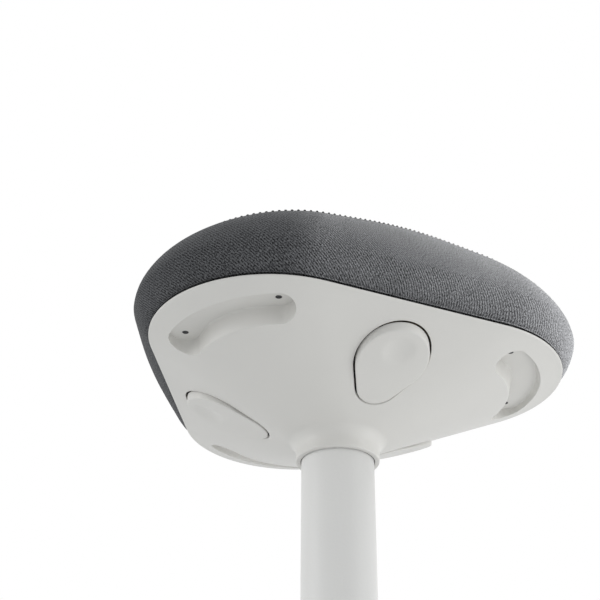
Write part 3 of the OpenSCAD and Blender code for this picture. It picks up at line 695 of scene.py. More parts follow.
def plywood(name):
    """Beech plywood: long grain with pores on its faces, and the plies in stripes at its edge."""
    f = Finish(name)
    grain = f.noise(22, 5, 0.6, 0.4, f.scaled((1.0, 14.0, 1.0)))
    pores = f.noise(420, 2, 0.5, place=f.scaled((1.0, 9.0, 1.0)))
    ply = f.math("SINE", (f.parts(f.place)[2] - BOARD_Z * MM) * (TAU / (3.2 * MM)))
    level = f.math("ABSOLUTE", f.parts(f.node("NewGeometry", output=1))[2])
    edge = f.blend(f.levels(ply, -0.25, 0.25), (0.36, 0.235, 0.13), (0.62, 0.47, 0.31))
    top = f.blend(f.levels(grain * 0.75 + pores * 0.25, 0.35, 0.65), (0.68, 0.52, 0.35), (0.5, 0.345, 0.205))
    return f.surface(
        base_color=f.blend(f.levels(level, 0.4, 0.6), edge, top),
        roughness=f.levels(grain, 0.3, 0.7, 0.52, 0.66),
        normal=f.bump(pores * 0.5 + grain * 0.5, 0.0002),
    )


def open_foam(name):
    """Cut polyurethane foam with open cells, with painted shade in their hollows."""
    f = Finish(name)
    cells = f.cells(620)
    # the middles of the cells, which the bump makes hollow, are darker: painted shade inside the open cells
    tone = f.levels(cells * 0.8 + f.noise(14, 3) * 0.2, 0.1, 0.6)
    return f.surface(
        base_color=f.blend(tone, (0.5, 0.46, 0.33), (0.83, 0.79, 0.62)),
        roughness=0.95,
        normal=f.bump(cells, 0.0006),
    )


def woven_twill(name, colour, light):
    """Melange twill: yarns that pass over two and under two, each flecked along its length, with painted
    shade where the yarns dip.
    """
    f = Finish(name, "Weave")
    u, v, _ = f.parts(f.place)
    yarn = 0.8 * MM
    wander = f.noise(240, 2, 0.5)
    warp = f.math("SINE", u * (TAU / yarn)) * 0.5 + 0.5
    weft = f.math("SINE", v * (TAU / yarn)) * 0.5 + 0.5
    diagonal = f.math("SINE", (u + v) * (TAU / (3.3 * yarn)) + wander * 6) * 0.5 + 0.5
    over = f.levels(diagonal, 0.25, 0.75)
    relief = over * (warp * 0.6 + 0.4) + (1 - over) * weft * 0.45
    slant = f.node("CombineXYZ", None, {0: u + v, 1: (u - v) * 0.4})
    slubs = f.noise(1150, 1.5, 0.6, place=slant)
    flecks = f.noise(1700, 1, 0.6)
    cloud = f.noise(60, 3, 0.6)
    # relief and diagonal darken the colour where the yarns dip under one another and between the ribs:
    # painted shade of the weave
    tone = slubs * 0.52 + diagonal * 0.05 + relief * 0.06 + flecks * 0.3 + cloud * 0.06
    stops = [(0.41, shade(colour, 0.1)), (0.47, colour), (0.56, light)]
    for socket, value in (("Sheen Weight", 0.14), ("Sheen Roughness", 0.5), ("Sheen Tint", (0.9, 0.9, 0.9)),
                          ("Specular IOR Level", 0.25)):
        f.feed(f.shader.inputs[socket], value)
    return f.surface(
        base_color=f.node("ValToRGB", {"stops": stops}, {"Fac": tone}),
        roughness=f.levels(flecks, 0.3, 0.7, 0.86, 0.98),
        normal=f.bump(flecks, 0.00012, 0.8, Normal=f.bump(relief, 0.0002)),
    )


def twisted_thread(name, colour):
    """Sewing thread with its twist, whose grooves carry painted shade."""
    f = Finish(name)
    x, y, z = f.parts(f.place)
    twist = f.math("SINE", (x + y + z * 1.4) * (TAU / (0.5 * MM))) * 0.5 + 0.5
    # the colour is darker where the twist's bump is low: painted shade in the grooves between the plies
    return f.surface(
        base_color=f.blend(twist, shade(colour, 0.6), shade(colour, 1.3)),
        roughness=f.levels(twist, 0, 1, 0.6, 0.75),
        normal=f.bump(twist, 0.0001),
    )


# What a user can change

class STOOL_PG_sizes(bpy.types.PropertyGroup):
    stitch_step: bpy.props.FloatProperty(
        name="Stitch spacing", description="Distance from one stitch to the next along the seam",
        default=0.0045, min=0.002, max=0.01, unit="LENGTH")
    stitch_length: bpy.props.FloatProperty(
        name="Stitch length", description="Length of the thread that shows in one stitch",
        default=0.0034, min=0.001, max=0.006, unit="LENGTH")
    thread_width: bpy.props.FloatProperty(
        name="Thread width", description="Diameter of the sewing thread",
        default=0.0011, min=0.0003, max=0.002, unit="LENGTH")
    seam_depth: bpy.props.FloatProperty(
        name="Seam depth", description="How far the seam draws the cover in",
        default=0.0004, min=0.0, max=0.002, unit="LENGTH")
    start_inset: bpy.props.FloatProperty(
        name="Start inset", description="How much smaller the cover starts before it is filled",
        default=0.003, min=0.0, max=0.01, unit="LENGTH")
    most_swell: bpy.props.FloatProperty(
        name="Most swell", description="The furthest that filling may move the cover",
        default=0.006, min=0.0, max=0.03, unit="LENGTH")
    paddle_edge: bpy.props.FloatProperty(
        name="Paddle edge", description="Radius of the round along a lever's edge",
        default=0.0012, min=0.0002, max=0.003, unit="LENGTH")
    tube_edge: bpy.props.FloatProperty(
        name="Tube edge", description="Radius of the rounds at the ends of the tubes",
        default=0.0006, min=0.0001, max=0.0009, unit="LENGTH")


class STOOL_PG_colours(bpy.types.PropertyGroup):
    fabric: bpy.props.FloatVectorProperty(
        name="Fabric", description="Middle tone of the cover's yarn",
        subtype="COLOR", size=3, default=(0.042, 0.043, 0.046))
    fabric_light: bpy.props.FloatVectorProperty(
        name="Fabric flecks", description="Tone of the light fibres in the yarn",
        subtype="COLOR", size=3, default=(0.16, 0.162, 0.168))
    thread: bpy.props.FloatVectorProperty(
        name="Thread", description="Colour of the sewing thread",
        subtype="COLOR", size=3, default=(0.022, 0.022, 0.024))
    plastic: bpy.props.FloatVectorProperty(
        name="Plastic", description="Colour of the shell and the levers",
        subtype="COLOR", size=3, default=(0.66, 0.65, 0.62))
    paint: bpy.props.FloatVectorProperty(
        name="Paint", description="Colour of the painted column and base",
        subtype="COLOR", size=3, default=(0.74, 0.735, 0.716))
    rubber: bpy.props.FloatVectorProperty(
        name="Rubber", description="Colour of the sole",
        subtype="COLOR", size=3, default=(0.025, 0.026, 0.028))
    floor: bpy.props.FloatVectorProperty(
        name="Floor", description="Colour of the studio floor",
        subtype="COLOR", size=3, default=(0.88, 0.88, 0.88))


FINISHES = {}


# What makes each finish. A word among its values stands for one of the colours a user can change.
MAKERS = {
    "grey_plastic": (moulded_plastic, "plastic", 0.46),
    "painted_tube": (powder_paint, "paint"),
    "seat_fabric": (woven_twill, "fabric", "fabric_light"),
    "seam_thread": (twisted_thread, "thread"),
    "foam": (open_foam,),
    "plywood": (plywood,),
    "sole_rubber": (soft_rubber, "rubber"),
    "dark_plastic": (moulded_plastic, (0.03, 0.031, 0.033), 0.5, 1100, 0.00008, 0.12),
    "sleeve_plastic": (moulded_plastic, (0.72, 0.71, 0.64), 0.36, 900, 0.00003, 0.04),
    "cage_plastic": (moulded_plastic, (0.6, 0.5, 0.28), 0.4, 1300, 0.00003, 0.06),
    "ballast_iron": (cast_iron,),
    "zinc": (plated_steel, (0.58, 0.6, 0.62), (0.7, 0.7, 0.66)),
    "bearing_steel": (worked_metal, (0.6, 0.61, 0.63), 0.16, (700, 700, 5000), 0.1, 0.000008),
    "spring_steel": (worked_metal, (0.33, 0.35, 0.4), 0.3, (2600, 500, 2600), 0.3),
    "rod_chrome": (worked_metal, (0.66, 0.67, 0.69), 0.12, (500, 500, 7000), 0.08, 0.000006),
    "piston_alloy": (worked_metal, (0.62, 0.62, 0.61), 0.32, (600, 600, 6000), 0.2),
    "black_cylinder": (powder_paint, (0.022, 0.022, 0.024), 0.34),
    "socket_alloy": (worked_metal, (0.5, 0.5, 0.5), 0.46, (500, 500, 500), 0.25, 0.00008),
    "black_plate": (powder_paint, (0.03, 0.03, 0.032), 0.5),
    "black_screw": (worked_metal, (0.07, 0.07, 0.075), 0.4, (1500, 1500, 1500), 0.3),
    "pin_brass": (worked_metal, (0.72, 0.53, 0.24), 0.26, (700, 700, 5000), 0.15),
}


def finish(slot):
    """The finish of a material slot, made once."""
    if slot not in FINISHES:
        maker, *values = MAKERS[slot]
        colours = bpy.context.scene.stool_colours
        values = [tuple(getattr(colours, v)) if isinstance(v, str) else v for v in values]
        FINISHES[slot] = maker(slot, *values)
    return FINISHES[slot]


def dress(*nodes):
    """Gives frame nodes the finish of the material slot that the record gives them."""
    for node in nodes:
        mesh = frame["nodes"][node].data
        mesh.materials.clear()
        mesh.materials.append(finish(SLOT_OF[node]))


# Making the pieces

def seam_rows():
    """Rows of the cushion from its hem to its crown, close together at the seam."""
    lower = [0.02, 0.07, 0.13, 0.2, 0.28, 0.36, 0.45, 0.55, 0.65, 0.75, 0.87, 1.0]
    side = list(np.arange(1.06, SEAM_U - 0.07, 0.055))
    seam = list(SEAM_U + np.array([-0.055, -0.04, -0.03, -0.022, -0.015, -0.0085,
                                   0, 0.0085, 0.015, 0.022, 0.03, 0.042, 0.055]))
    crown = [1.935, 1.965, 2.0, 2.03, 2.06, 2.1, 2.14, 2.19, 2.24, 2.3,
             2.36, 2.43, 2.5, 2.58, 2.66, 2.74, 2.82, 2.89, 2.95]
    return lower + side + seam + crown


def filled_cover(start_inset, most_swell):
    """The cover as a closed bag that pressure fills: a tree of its triangles, to measure against."""
    count = 120
    rows = [0.05, 0.2, 0.4, 0.6, 0.8, 1.0, 1.15, 1.3, 1.45, 1.6,
            1.75, 1.85, 1.95, 2.05, 2.2, 2.4, 2.6, 2.8, 2.93]
    spot, out = cushion_grid(rows, around(count))
    spot = spot - out * start_inset
    build = Build()
    first, last = build.tube(spot)
    build.cap(first, count, spot[0, 0, 2])
    build.cap(last, count, spot[-1, :, 2].max() + 0.2)
    bag = build.piece("filling_bag", "seat", None, "seat_fabric")
    even = bag.modifiers.new("even", "REMESH")
    even.mode, even.voxel_size = "VOXEL", 5.5 * MM
    graph = bpy.context.evaluated_depsgraph_get()
    mesh = bpy.data.meshes.new_from_object(bag.evaluated_get(graph))
    bag.modifiers.clear()
    bag.data = mesh
    rest = np.array([v.co for v in mesh.vertices])
    z = rest[:, 2] / MM - RIM
    seam = profile(np.arctan2(rest[:, 1], rest[:, 0]), SEAM_U)
    rho = np.hypot(rest[:, 0], rest[:, 1]) / MM
    near_seam = np.hypot(rho - seam[0] + start_inset, z - seam[1] + start_inset / 2) < 4.5
    held = bag.vertex_groups.new(name="held")
    for hold, where in ((1.0, z < 6), (0.6, near_seam)):
        held.add(np.flatnonzero(where).tolist(), hold, "REPLACE")
    cloth = bag.modifiers.new("filling", "CLOTH")
    s = cloth.settings
    s.quality = 6
    s.mass = 0.25
    s.tension_stiffness, s.compression_stiffness, s.shear_stiffness = 22, 12, 9
    s.bending_stiffness = 1.2
    s.use_pressure, s.uniform_pressure_force = True, 4
    s.vertex_group_mass, s.pin_stiffness = "held", 3
    s.effector_weights.gravity = 0
    cloth.collision_settings.use_collision = False
    cloth.collision_settings.use_self_collision = False
    for step in range(1, 21):
        bpy.context.scene.frame_set(step)
    shaped = bag.evaluated_get(bpy.context.evaluated_depsgraph_get())
    moved = np.array([v.co for v in shaped.to_mesh().vertices]) - rest
    shaped.to_mesh_clear()
    moved *= np.minimum(1, most_swell * MM / np.maximum(np.linalg.norm(moved, axis=1), 1e-9))[:, None]
    faces = [list(p.vertices) for p in mesh.polygons]
    tree = BVHTree.FromPolygons([Vector(p) for p in (rest + moved).tolist()], faces)
    bpy.context.scene.frame_set(1)
    bpy.data.objects.remove(bag)
    return tree


def swell_of(tree, spot, out):
    """How far the filled cover stands out of each point, smoothed over its neighbours."""
    reach = 12
    swell = np.zeros(spot.shape[:2])
    for at in np.ndindex(swell.shape):
        start = Vector((spot[at] + out[at] * reach) * MM)
        hit = tree.ray_cast(start, Vector(-out[at]), 30 * MM)
        swell[at] = reach - hit[3] / MM if hit[0] is not None else np.nan
    swell = np.where(np.isnan(swell), np.nanmedian(swell), swell)
    for _ in range(6):
        up = np.vstack([swell[:1], swell[:-1]])
        down = np.vstack([swell[1:], swell[-1:]])
        swell = (2 * swell + np.roll(swell, 1, 1) + np.roll(swell, -1, 1) + up + down) / 6
    return swell


class STOOL_OT_stage(bpy.types.Operator):
    """Makes the floor, the background, the lamps and the camera"""
    bl_idname = "stool.stage"
    bl_label = "Stage"

    def execute(self, context):
        scene = context.scene
        scene.view_settings.view_transform = "Standard"
        make_floor(scene)
        make_world(scene)
        make_lamps(scene)
        make_camera(scene)
        return {"FINISHED"}


def make_floor(scene):
    bpy.ops.mesh.primitive_circle_add(vertices=96, radius=9, fill_type="NGON", location=(0, 0, 0))
    floor = bpy.context.object
    floor.name = "studio_floor"
    f = Finish("studio_floor")
    colour = scene.stool_colours.floor
    tone = f.blend(f.levels(f.noise(3, 3), 0.3, 0.7), shade(colour, 0.99), shade(colour, 1.01))
    floor.data.materials.append(f.surface(base_color=tone, roughness=0.85))


def make_world(scene):
    """White to look at; its light is stronger behind the stool than in front of it."""
    scene.world = bpy.data.worlds.new("studio")
    scene.world.use_nodes = True
    w = Nodes(scene.world.node_tree)
    w.tree.nodes.clear()
    way = w.node("VectorMath", {"operation": "DOT_PRODUCT"}, {0: w.node("TexCoord"), 1: (0.3, 0.9, 0.2)}, 1)
    strength = w.levels(way, -0.8, 0.9, 0.57, 0.85)
    plain = w.node("Background", None, {"Color": (0.96, 0.98, 1.0), "Strength": strength})
    white = w.node("Background", None, {"Color": (1, 1, 1), "Strength": 1.0})
    seen = w.node("LightPath", output="Is Camera Ray")
    for ray in ("Is Glossy Ray", "Is Transmission Ray"):
        seen = w.math("MAXIMUM", seen, w.node("LightPath", output=ray))
    w.node("OutputWorld", None, {0: w.node("MixShader", None, {0: seen, 1: plain, 2: white})})


def make_lamps(scene):
    """Soft lamps round the stool. The last ones light only some pieces, as a screen beside them would."""
    for name, place, target, size, power in (
        ("right_lamp", (1.5, 0.3, 2.0), (0, 0, 0.66), 1.0, 16),
        ("edge_lamp", (0.9, -0.42, 0.64), (0.14, -0.12, 0.65), 0.3, 26),
        ("left_lamp", (-2.4, 0.4, 0.8), (0, 0, 0.5), 1.6, 14),
        ("low_lamp", (1.8, -2.0, 0.7), (0, 0, 0.6), 1.8, 15),
        ("under_lamp", (0.75, -0.4, 0.12), (0.08, -0.03, 0.6), 0.5, 1.7),
    ):
        lamp = bpy.data.lights.new(name, "AREA")
        lamp.shape, lamp.size, lamp.energy = "DISK", size, power
        holder = bpy.data.objects.new(name, lamp)
        holder.location = place
        holder.visible_camera = False
        holder.rotation_euler = (Vector(target) - Vector(place)).to_track_quat("-Z", "Y").to_euler()
        scene.collection.objects.link(holder)
    floor = bpy.data.objects["studio_floor"]
    light("left_lamp", floor, "EXCLUDE")
    light("low_lamp", floor, "EXCLUDE")


def light(lamp, piece, state):
    """Makes a lamp light only such pieces, with INCLUDE, or leave them out, with EXCLUDE."""
    linking = bpy.data.objects[lamp].light_linking
    if linking.receiver_collection is None:
        linking.receiver_collection = bpy.data.collections.new(lamp + "_pieces")
    pieces = linking.receiver_collection
    pieces.objects.link(piece)
    pieces.collection_objects[-1].light_linking.link_state = state


def make_camera(scene):
    right = Vector((cos(CAMERA_TURN), sin(CAMERA_TURN), 0))
    forward = Vector(CAMERA_AIM).normalized()
    up = right.cross(forward)
    side = right * cos(CAMERA_ROLL) + up * sin(CAMERA_ROLL)
    top = up * cos(CAMERA_ROLL) - right * sin(CAMERA_ROLL)
    lens = bpy.data.cameras.new("view")
    lens.lens, lens.sensor_width, lens.clip_start = CAMERA_LENS, CAMERA_SENSOR, 0.05
    camera = bpy.data.objects.new("view", lens)
    camera.matrix_world = Matrix((*zip(side, top, -forward, CAMERA_SPOT), (0, 0, 0, 1)))
    scene.collection.objects.link(camera)
    scene.camera = camera


class STOOL_OT_cushion(bpy.types.Operator):
    """Makes the fabric cover, its seam and the foam inside it"""
    bl_idname = "stool.cushion"
    bl_label = "Cushion"

    def execute(self, context):
        sizes = context.scene.stool_sizes
        rows = seam_rows()
        seam = rows.index(SEAM_U)
        seam_length = TAU * profile(around(360), SEAM_U)[0].mean() * SEAM_LONGER
        t = around(2 * int(round(seam_length / (sizes.stitch_step / MM))))
        spot, out = cushion_grid(rows, t)
        swell = np.zeros(spot.shape[:2])
        swell = swell_of(filled_cover(sizes.start_inset / MM, sizes.most_swell / MM), spot, out)
        swell = np.clip(swell - np.median(swell), -SWELL_LIMIT, SWELL_LIMIT)
        along = np.array([np.linalg.norm(row - spot[seam], axis=1) for row in spot])
        pucker = np.where(np.arange(len(t)) % 2 == 0, PUCKER_IN, PUCKER_OUT)
        drawn = sizes.seam_depth / MM * np.exp(-((along / SEAM_REACH) ** 2))
        drawn += pucker * np.exp(-((along / PUCKER_REACH) ** 2))
        spot = spot + out * (swell - drawn)[..., None]
        cover = make_cover(spot, out, t)
        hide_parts("seat_cover")
        light("edge_lamp", cover, "INCLUDE")
        light("left_lamp", cover, "EXCLUDE")
        make_stitches(spot[seam], out[seam], sizes)
        foam = make_foam(spot, out, t)
        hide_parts("foam_pad")
        dress("seat_board", "tee_nuts", "hem_staples", "plate_bolts")
        return {"FINISHED"}


def hem_ring(t, inset, z):
    """A ring at that distance in from the rim's outline, and that height above the rim."""
    return ring(t, outline(t) - inset, RIM + z)


def make_cover(spot, out, t):
    """A closed cover: the outside, the hem that turns in under the board, and the lining."""
    build = Build()
    outside, top = build.tube(spot)
    build.cap(top, len(t), RIM + CROWN_Z)
    hem = ((0.3, GAP + 0.1), (0.8, GAP + 0.6), (1.6, GAP + 1.7), (3, GAP + 2.5), (5, GAP + 2.6),
           (6.4, GAP + 1.7), (7, 1.6), (7.6, 0.9), (8.6, 0.75), (17.2, 0.75), (17.7, 0.9), (18, 1.3),
           (17.7, 1.75), (17, 1.9), (8.6, 1.95), (8, 2.6), (7.4, GAP + 3.2), (5.4, GAP + 4.1),
           (2.8, GAP + 4), (0.9, GAP + 3.6))
    inner = [*(hem_ring(t, inset, z) for inset, z in hem), *(spot - out * COVER_T)[INNER_ROWS]]
    build.cap(build.rings(outside, inner), len(t), RIM + CROWN_Z - COVER_T)
    cover = build.piece("seat_cushion", "seat", "seat_fabric", sharp=60)
    lay_weave(cover.data)
    return cover


def lay_weave(mesh):
    """Weave coordinates in metres: round and up on the side, and flat over the top."""
    layer = mesh.uv_layers.new(name="Weave")

    def read(things, name, width=3, kind=float):
        values = np.zeros(len(things) * width, kind)
        things.foreach_get(name, values)
        return values.reshape(-1, width) if width > 1 else values

    corner = read(mesh.vertices, "co")[read(mesh.loops, "vertex_index", 1, int)]
    middle = read(mesh.polygons, "center")
    owner = np.repeat(np.arange(len(middle)), read(mesh.polygons, "loop_total", 1, int))
    t = np.arctan2(corner[:, 1], corner[:, 0])
    wrap = np.abs(t - t[read(mesh.polygons, "loop_start", 1, int)][owner]) > pi
    t = np.where(wrap & (t < 0), t + TAU, np.where(wrap & (t > 0), t - TAU, t))
    seam = profile(np.arctan2(middle[:, 1], middle[:, 0]), SEAM_U)
    on_top = (np.hypot(middle[:, 0], middle[:, 1]) / MM < seam[0])[owner]
    pitch, seat_r = 0.85 * MM, 0.185
    girth = round(TAU * seat_r / pitch) * pitch / TAU
    side = np.stack([t * girth, corner[:, 2]], -1)
    layer.data.foreach_set("uv", np.where(on_top[:, None], corner[:, :2], side).ravel())


def make_foam(spot, out, t):
    """The foam block, hollowed under for the board."""
    build = Build()
    foot_z = GAP + 4.4
    foot = build.add(hem_ring(t, 3.4, foot_z))
    top = build.rings(foot, (spot - out * (COVER_T + FOAM_LESS))[INNER_ROWS])
    build.cap(top, len(t), RIM + FOAM_TOP)
    low = build.rings(foot, [hem_ring(t, BOARD_INSET, foot_z), hem_ring(t, BOARD_INSET, BOARD_TOP)])
    build.cap(low, len(t), RIM + BOARD_TOP)
    return build.piece("foam_block", "seat", "foam", sharp=40)


def make_stitches(seam, out, sizes):
    """Thread that shows in short dashes along the seam, each dipping into the cover at its ends."""
    length, radius = sizes.stitch_length / MM, sizes.thread_width / MM / 2
    build = Build()
    count = 6
    a = around(count)[:, None]
    for k in range(0, len(seam), 2):
        ahead = seam[(k + 1) % len(seam)] - seam[k - 1]
        ahead /= np.linalg.norm(ahead)
        up = out[k]
        ahead = ahead * cos(STITCH_SLANT) + np.cross(up, ahead) * sin(STITCH_SLANT)
        across = np.cross(up, ahead)
        loops = []
        for s, rise, wide in ((-1, -0.5, 0.4), (-0.86, 0.3, 0.85), (-0.45, 1.0, 1), (0, 1.2, 1),
                              (0.45, 1.0, 1), (0.86, 0.3, 0.85), (1, -0.5, 0.4)):
            middle = seam[k] + ahead * s * length / 2 + up * rise
            loops.append(middle + radius * wide * (np.cos(a) * across + np.sin(a) * up))
        first, last = build.tube(loops)
        build.faces += [[*range(first, first + count)][::-1], [*range(last, last + count)]]
    build.piece("seam_stitches", "seat", "seat_fabric", "seam_thread", 60)


class STOOL_OT_shell(bpy.types.Operator):
    """Makes the moulded shell under the seat"""
    bl_idname = "stool.shell"
    bl_label = "Bottom shell"

    def execute(self, context):
        build = Build()
        rim, foot, *holes = add_sheet(build, shell_outside, SCREW_HOLE_R, COLLAR_TOP_R)
        rim_in, bore, *holes_in = add_sheet(build, shell_inside, SCREW_SHANK_R, COLLAR_BORE)
        build.join(rim[0], rim_in[0], rim[1])
        add_collar(build, foot[0], bore[0])
        for number, (a, b) in enumerate(zip(holes, holes_in)):
            if number < len(LEVERS):
                build.join(a[0], b[0], a[1])
            else:
                add_screw_hole(build, a[0], b[0])
        shell = build.piece("bottom_shell_moulding", "seat", "grey_plastic", sharp=40, lift=RIM)
        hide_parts("bottom_shell")
        light("under_lamp", shell, "INCLUDE")
        dress("shell_screws")
        return {"FINISHED"}


# Rows of points on each face of the shell: in from its rim, out from a lever's opening, and out from a screw
# hole; then how far round a hole no others lie, and the wall round a recess
FACE_ROWS = {
    shell_outside: ((0.12, 0.3, 0.5, 0.8, 1.4, 2.4, 4, 6.5), (0.12, 0.3, 0.5, 0.7, 1.2, 2.2),
                    (0.1, 0.2, 0.35, 0.8, 1.8), 2.6, 0),
    shell_inside: ((0.1, 0.3, 1.5, 4, 6.4, 6.8), (1.5,), (1.2, 2.4, 3.8, 3.95, 4.1, 4.25), 5.2, RECESS_WALL),
}
# Rows across a recess's wall, from outside it to its floor
RECESS_ROWS = (3.4, 2.3, 1.7, 1.3, 0.95, 0.7, 0.5, 0.35, 0.22, 0.1, -0.02, -0.14, -0.26, -0.38,
               -0.5, -0.62, -0.75, -0.9, -1.1, -1.4, -1.8, -2.3, -3.0, -3.9, -5.2, -6.8, -8.6)


def add_sheet(build, height, hole_r, foot_r):
    """One face of the shell. Gives the first vertex and length of each of its boundary loops."""
    rim_rows, opening_rows, hole_rows, hole_reach, wall = FACE_ROWS[height]
    spots = [rotated(np.array([SCREW_ALONG, s * SCREW_ACROSS]), c) for c in CORNERS for s in (-1, 1)]
    loops = [
        rim_loop(0),
        circle(foot_r, COLLAR_COUNT),
        *(rotated(paddle_loop(LEVER_GAP), a) for a in LEVERS.values()),
        *(circle(hole_r, HOLE_COUNT, spot) for spot in spots),
    ]
    near = np.concatenate([
        *(rim_loop(d) for d in rim_rows),
        *(circle(foot_r + d, COLLAR_COUNT) for d in (0.8, 2, 4)),
        *(rotated(paddle_loop(LEVER_GAP + d), a) for a in LEVERS.values() for d in opening_rows),
        *(circle(hole_r + d, HOLE_COUNT, spot) for spot in spots for d in hole_rows),
        *(band_loop(RECESS_HALF_W + wall + d, corner) for corner in CORNERS for d in RECESS_ROWS),
    ])

    def on_face(x, y, rim, foot, opening, hole):
        """Whether points lie further than these from the face's edges."""
        return ((rim_inset(x, y) > rim) & (np.hypot(x, y) > foot_r + foot)
                & (openings_away(x, y) > LEVER_GAP + opening) & (screw_away(x, y) > hole_r + hole))

    def open_ground(x, y):
        """Whether points lie clear of the rows."""
        clear = on_face(x, y, rim=8, foot=5.5, opening=2.6, hole=3)
        for corner in CORNERS:
            out = recess_place(x, y, corner)[0] - wall
            clear &= (out > 4.6) | (out < -10.4)
        return clear

    near = near[on_face(*near.T, *[0.001] * 4)]
    away = screw_away(*near.T) - hole_r
    on_ring = np.min([np.abs(away - d) for d in hole_rows], axis=0) < 1e-6
    near = near[on_ring | (away > hole_reach)]
    points, faces = filled(loops, np.concatenate([near, plain_grid(3.2, 200, open_ground)]),
                           lambda x, y: on_face(x, y, *[-0.01] * 4))
    first = build.add(np.column_stack([points, height(*points.T)]), faces)
    places = []
    for loop in loops:
        places.append((first, len(loop)))
        first += len(loop)
    return places


def add_collar(build, first, bore):
    """The fillet, wall and lip of the collar, and its bore."""
    t = around(COLLAR_COUNT)
    tilt = pi / 2 - atan(BOWL_TAN)
    end_r = COLLAR_R + FILLET_R * (1 - cos(tilt))
    start_z = -(SIDE - end_r) * BOWL_TAN - 1 - FILLET_R * sin(tilt)
    above = bowl_z(COLLAR_TOP_R * np.cos(t), COLLAR_TOP_R * np.sin(t))
    off = above - (start_z + FILLET_R * sin(tilt))
    steps = 12
    section = [
        (COLLAR_R + FILLET_R * (1 - cos(a)), start_z + FILLET_R * sin(a) + off * (a / tilt) ** 1.5)
        for a in (tilt * (1 - k / steps) for k in range(1, steps + 1))
    ]
    lip, chamfer = 1, 0.4
    section += [(COLLAR_R, COLLAR_FOOT + z) for z in (4, 1.4)]
    section += [(COLLAR_R - lip + cos(a), COLLAR_FOOT + lip - sin(a)) for a in (0, 0.4, 0.8, 1.2, pi / 2)]
    section += [(COLLAR_BORE + chamfer - chamfer * sin(a), COLLAR_FOOT + chamfer - chamfer * cos(a))
                for a in (0, 0.5, 1.0, pi / 2)]
    build.rings(first, [ring(t, r, z) for r, z in section], bore)


def add_screw_hole(build, first, last):
    """A screw hole's wall, the shoulder for the head and the shank's bore."""
    middle = np.concatenate(build.points)[first:first + HOLE_COUNT].mean(axis=0)[:2]
    seat = np.full(HOLE_COUNT, BOARD_Z - RIM - 1.5)
    rings = [np.column_stack([circle(r, HOLE_COUNT, middle), seat]) for r in (SCREW_HOLE_R, SCREW_SHANK_R)]
    build.rings(first, rings, last)


class STOOL_OT_levers(bpy.types.Operator):
    """Makes the three release levers and finishes what they press on"""
    bl_idname = "stool.levers"
    bl_label = "Levers"

    def execute(self, context):
        edge = context.scene.stool_sizes.paddle_edge / MM
        for node, angle in LEVERS.items():
            build = Build()
            add_paddle(build, edge)
            add_arm(build)
            add_hub(build)
            lever = build.piece(node + "_moulding", BODY_OF[node], "grey_plastic",
                                sharp=40, turn=angle, lift=RIM)
            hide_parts(node)
            light("under_lamp", lever, "INCLUDE")
        dress("lever_pins", "star_spring", "valve_pin", "seat_plate")
        return {"FINISHED"}


def face_plane(x, depth=0):
    """Height from the rim of the plane of a paddle's face, or of one that lies that deep behind it."""
    return FACE_IN[1] + (x - FACE_IN[0]) * FACE_TAN + depth / FACE_COS


def paddle_face(x, y):
    """Height of a paddle's outer face from the rim, with its finger dimple."""
    plane, blend = face_plane(x), 0.25
    ball = DIMPLE_AT[1] + np.sqrt(np.maximum(DIMPLE_R**2 - (x - DIMPLE_AT[0]) ** 2 - y**2, 0))
    return plane + np.log1p(np.exp((ball - plane) / blend)) * blend


def add_paddle(build, edge):
    """The paddle: its face with a rounded edge, the skirt round it and its hollow back."""
    def within(inset):
        return lambda x, y: paddle_away(x, y) < -inset

    outer, skirt = paddle_loop(-PADDLE_LESS), paddle_loop(-SKIRT_T)
    near = [paddle_loop(-edge * f - PADDLE_LESS) for f in (0.06, 0.15, 0.28, 0.45, 0.68, 1.0, 1.6)]
    grid = plain_grid(2.4, 135, within(edge * 1.6 + 1.7))
    points, faces = filled([outer], np.concatenate([*near, grid]), within(PADDLE_LESS - 1e-6))
    face = paddle_face(*points.T) + edge_roll(-paddle_away(*points.T) - PADDLE_LESS, edge)
    front = build.add(np.column_stack([points, face]), faces)
    back, faces = filled([skirt], plain_grid(6, 135, within(SKIRT_T + 3)), within(SKIRT_T - 1e-6))
    inner = build.add(np.column_stack([back, face_plane(back[:, 0], PADDLE_T)]), faces)
    foot = face_plane(outer[:, 0], SKIRT_H)
    loops = [np.column_stack([paddle_loop(-inset), foot - drop]) for inset, drop in
             ((PADDLE_LESS, 0.4), (PADDLE_LESS + 0.4, 0), (SKIRT_T - 0.4, 0), (SKIRT_T, 0.4))]
    build.rings(front, loops, inner)


def add_arm(build):
    """The arm from the paddle's web to its tip over the valve pin."""
    web_in, web_out = 62.5, 104
    low_z, high_z = face_plane(web_in, PADDLE_T), face_plane(web_out, PADDLE_T)
    loop = np.array(eased_corners([
        (8, -8, 1), (8, -3.5, 1.5), (26, -3.5, 6), (PIVOT[0], PIVOT[1] + HUB_R, 8), (web_out, high_z + 2, 2),
        (web_out, high_z - 1, 0.3), (web_in, low_z - 1, 0.3), (56.5, PIVOT[1] - HUB_R, 3), (27, -8, 6),
    ]))
    rings = []
    for y, shrink in ((-ARM_HALF, 0.5), (-ARM_HALF + 0.15, 0.15), (-ARM_HALF + 0.5, 0),
                      (ARM_HALF - 0.5, 0), (ARM_HALF - 0.15, 0.15), (ARM_HALF, 0.5)):
        moved = inset_loop(loop, shrink)
        rings.append(np.column_stack([moved[:, 0], np.full(len(loop), y), moved[:, 1]]))
    first, last = build.tube(rings)
    build.faces += [[*range(first, first + len(loop))], [*range(last, last + len(loop))][::-1]]


def inset_loop(loop, by):
    """A closed loop of points moved inwards, square to its own line."""
    ahead = np.roll(loop, -1, 0) - np.roll(loop, 1, 0)
    ahead /= np.maximum(np.linalg.norm(ahead, axis=1), 1e-9)[:, None]
    area = np.sum(loop[:, 0] * np.roll(loop[:, 1], -1) - np.roll(loop[:, 0], -1) * loop[:, 1])
    inward = np.stack([-ahead[:, 1], ahead[:, 0]], -1) * (1 if area > 0 else -1)
    return loop + inward * by


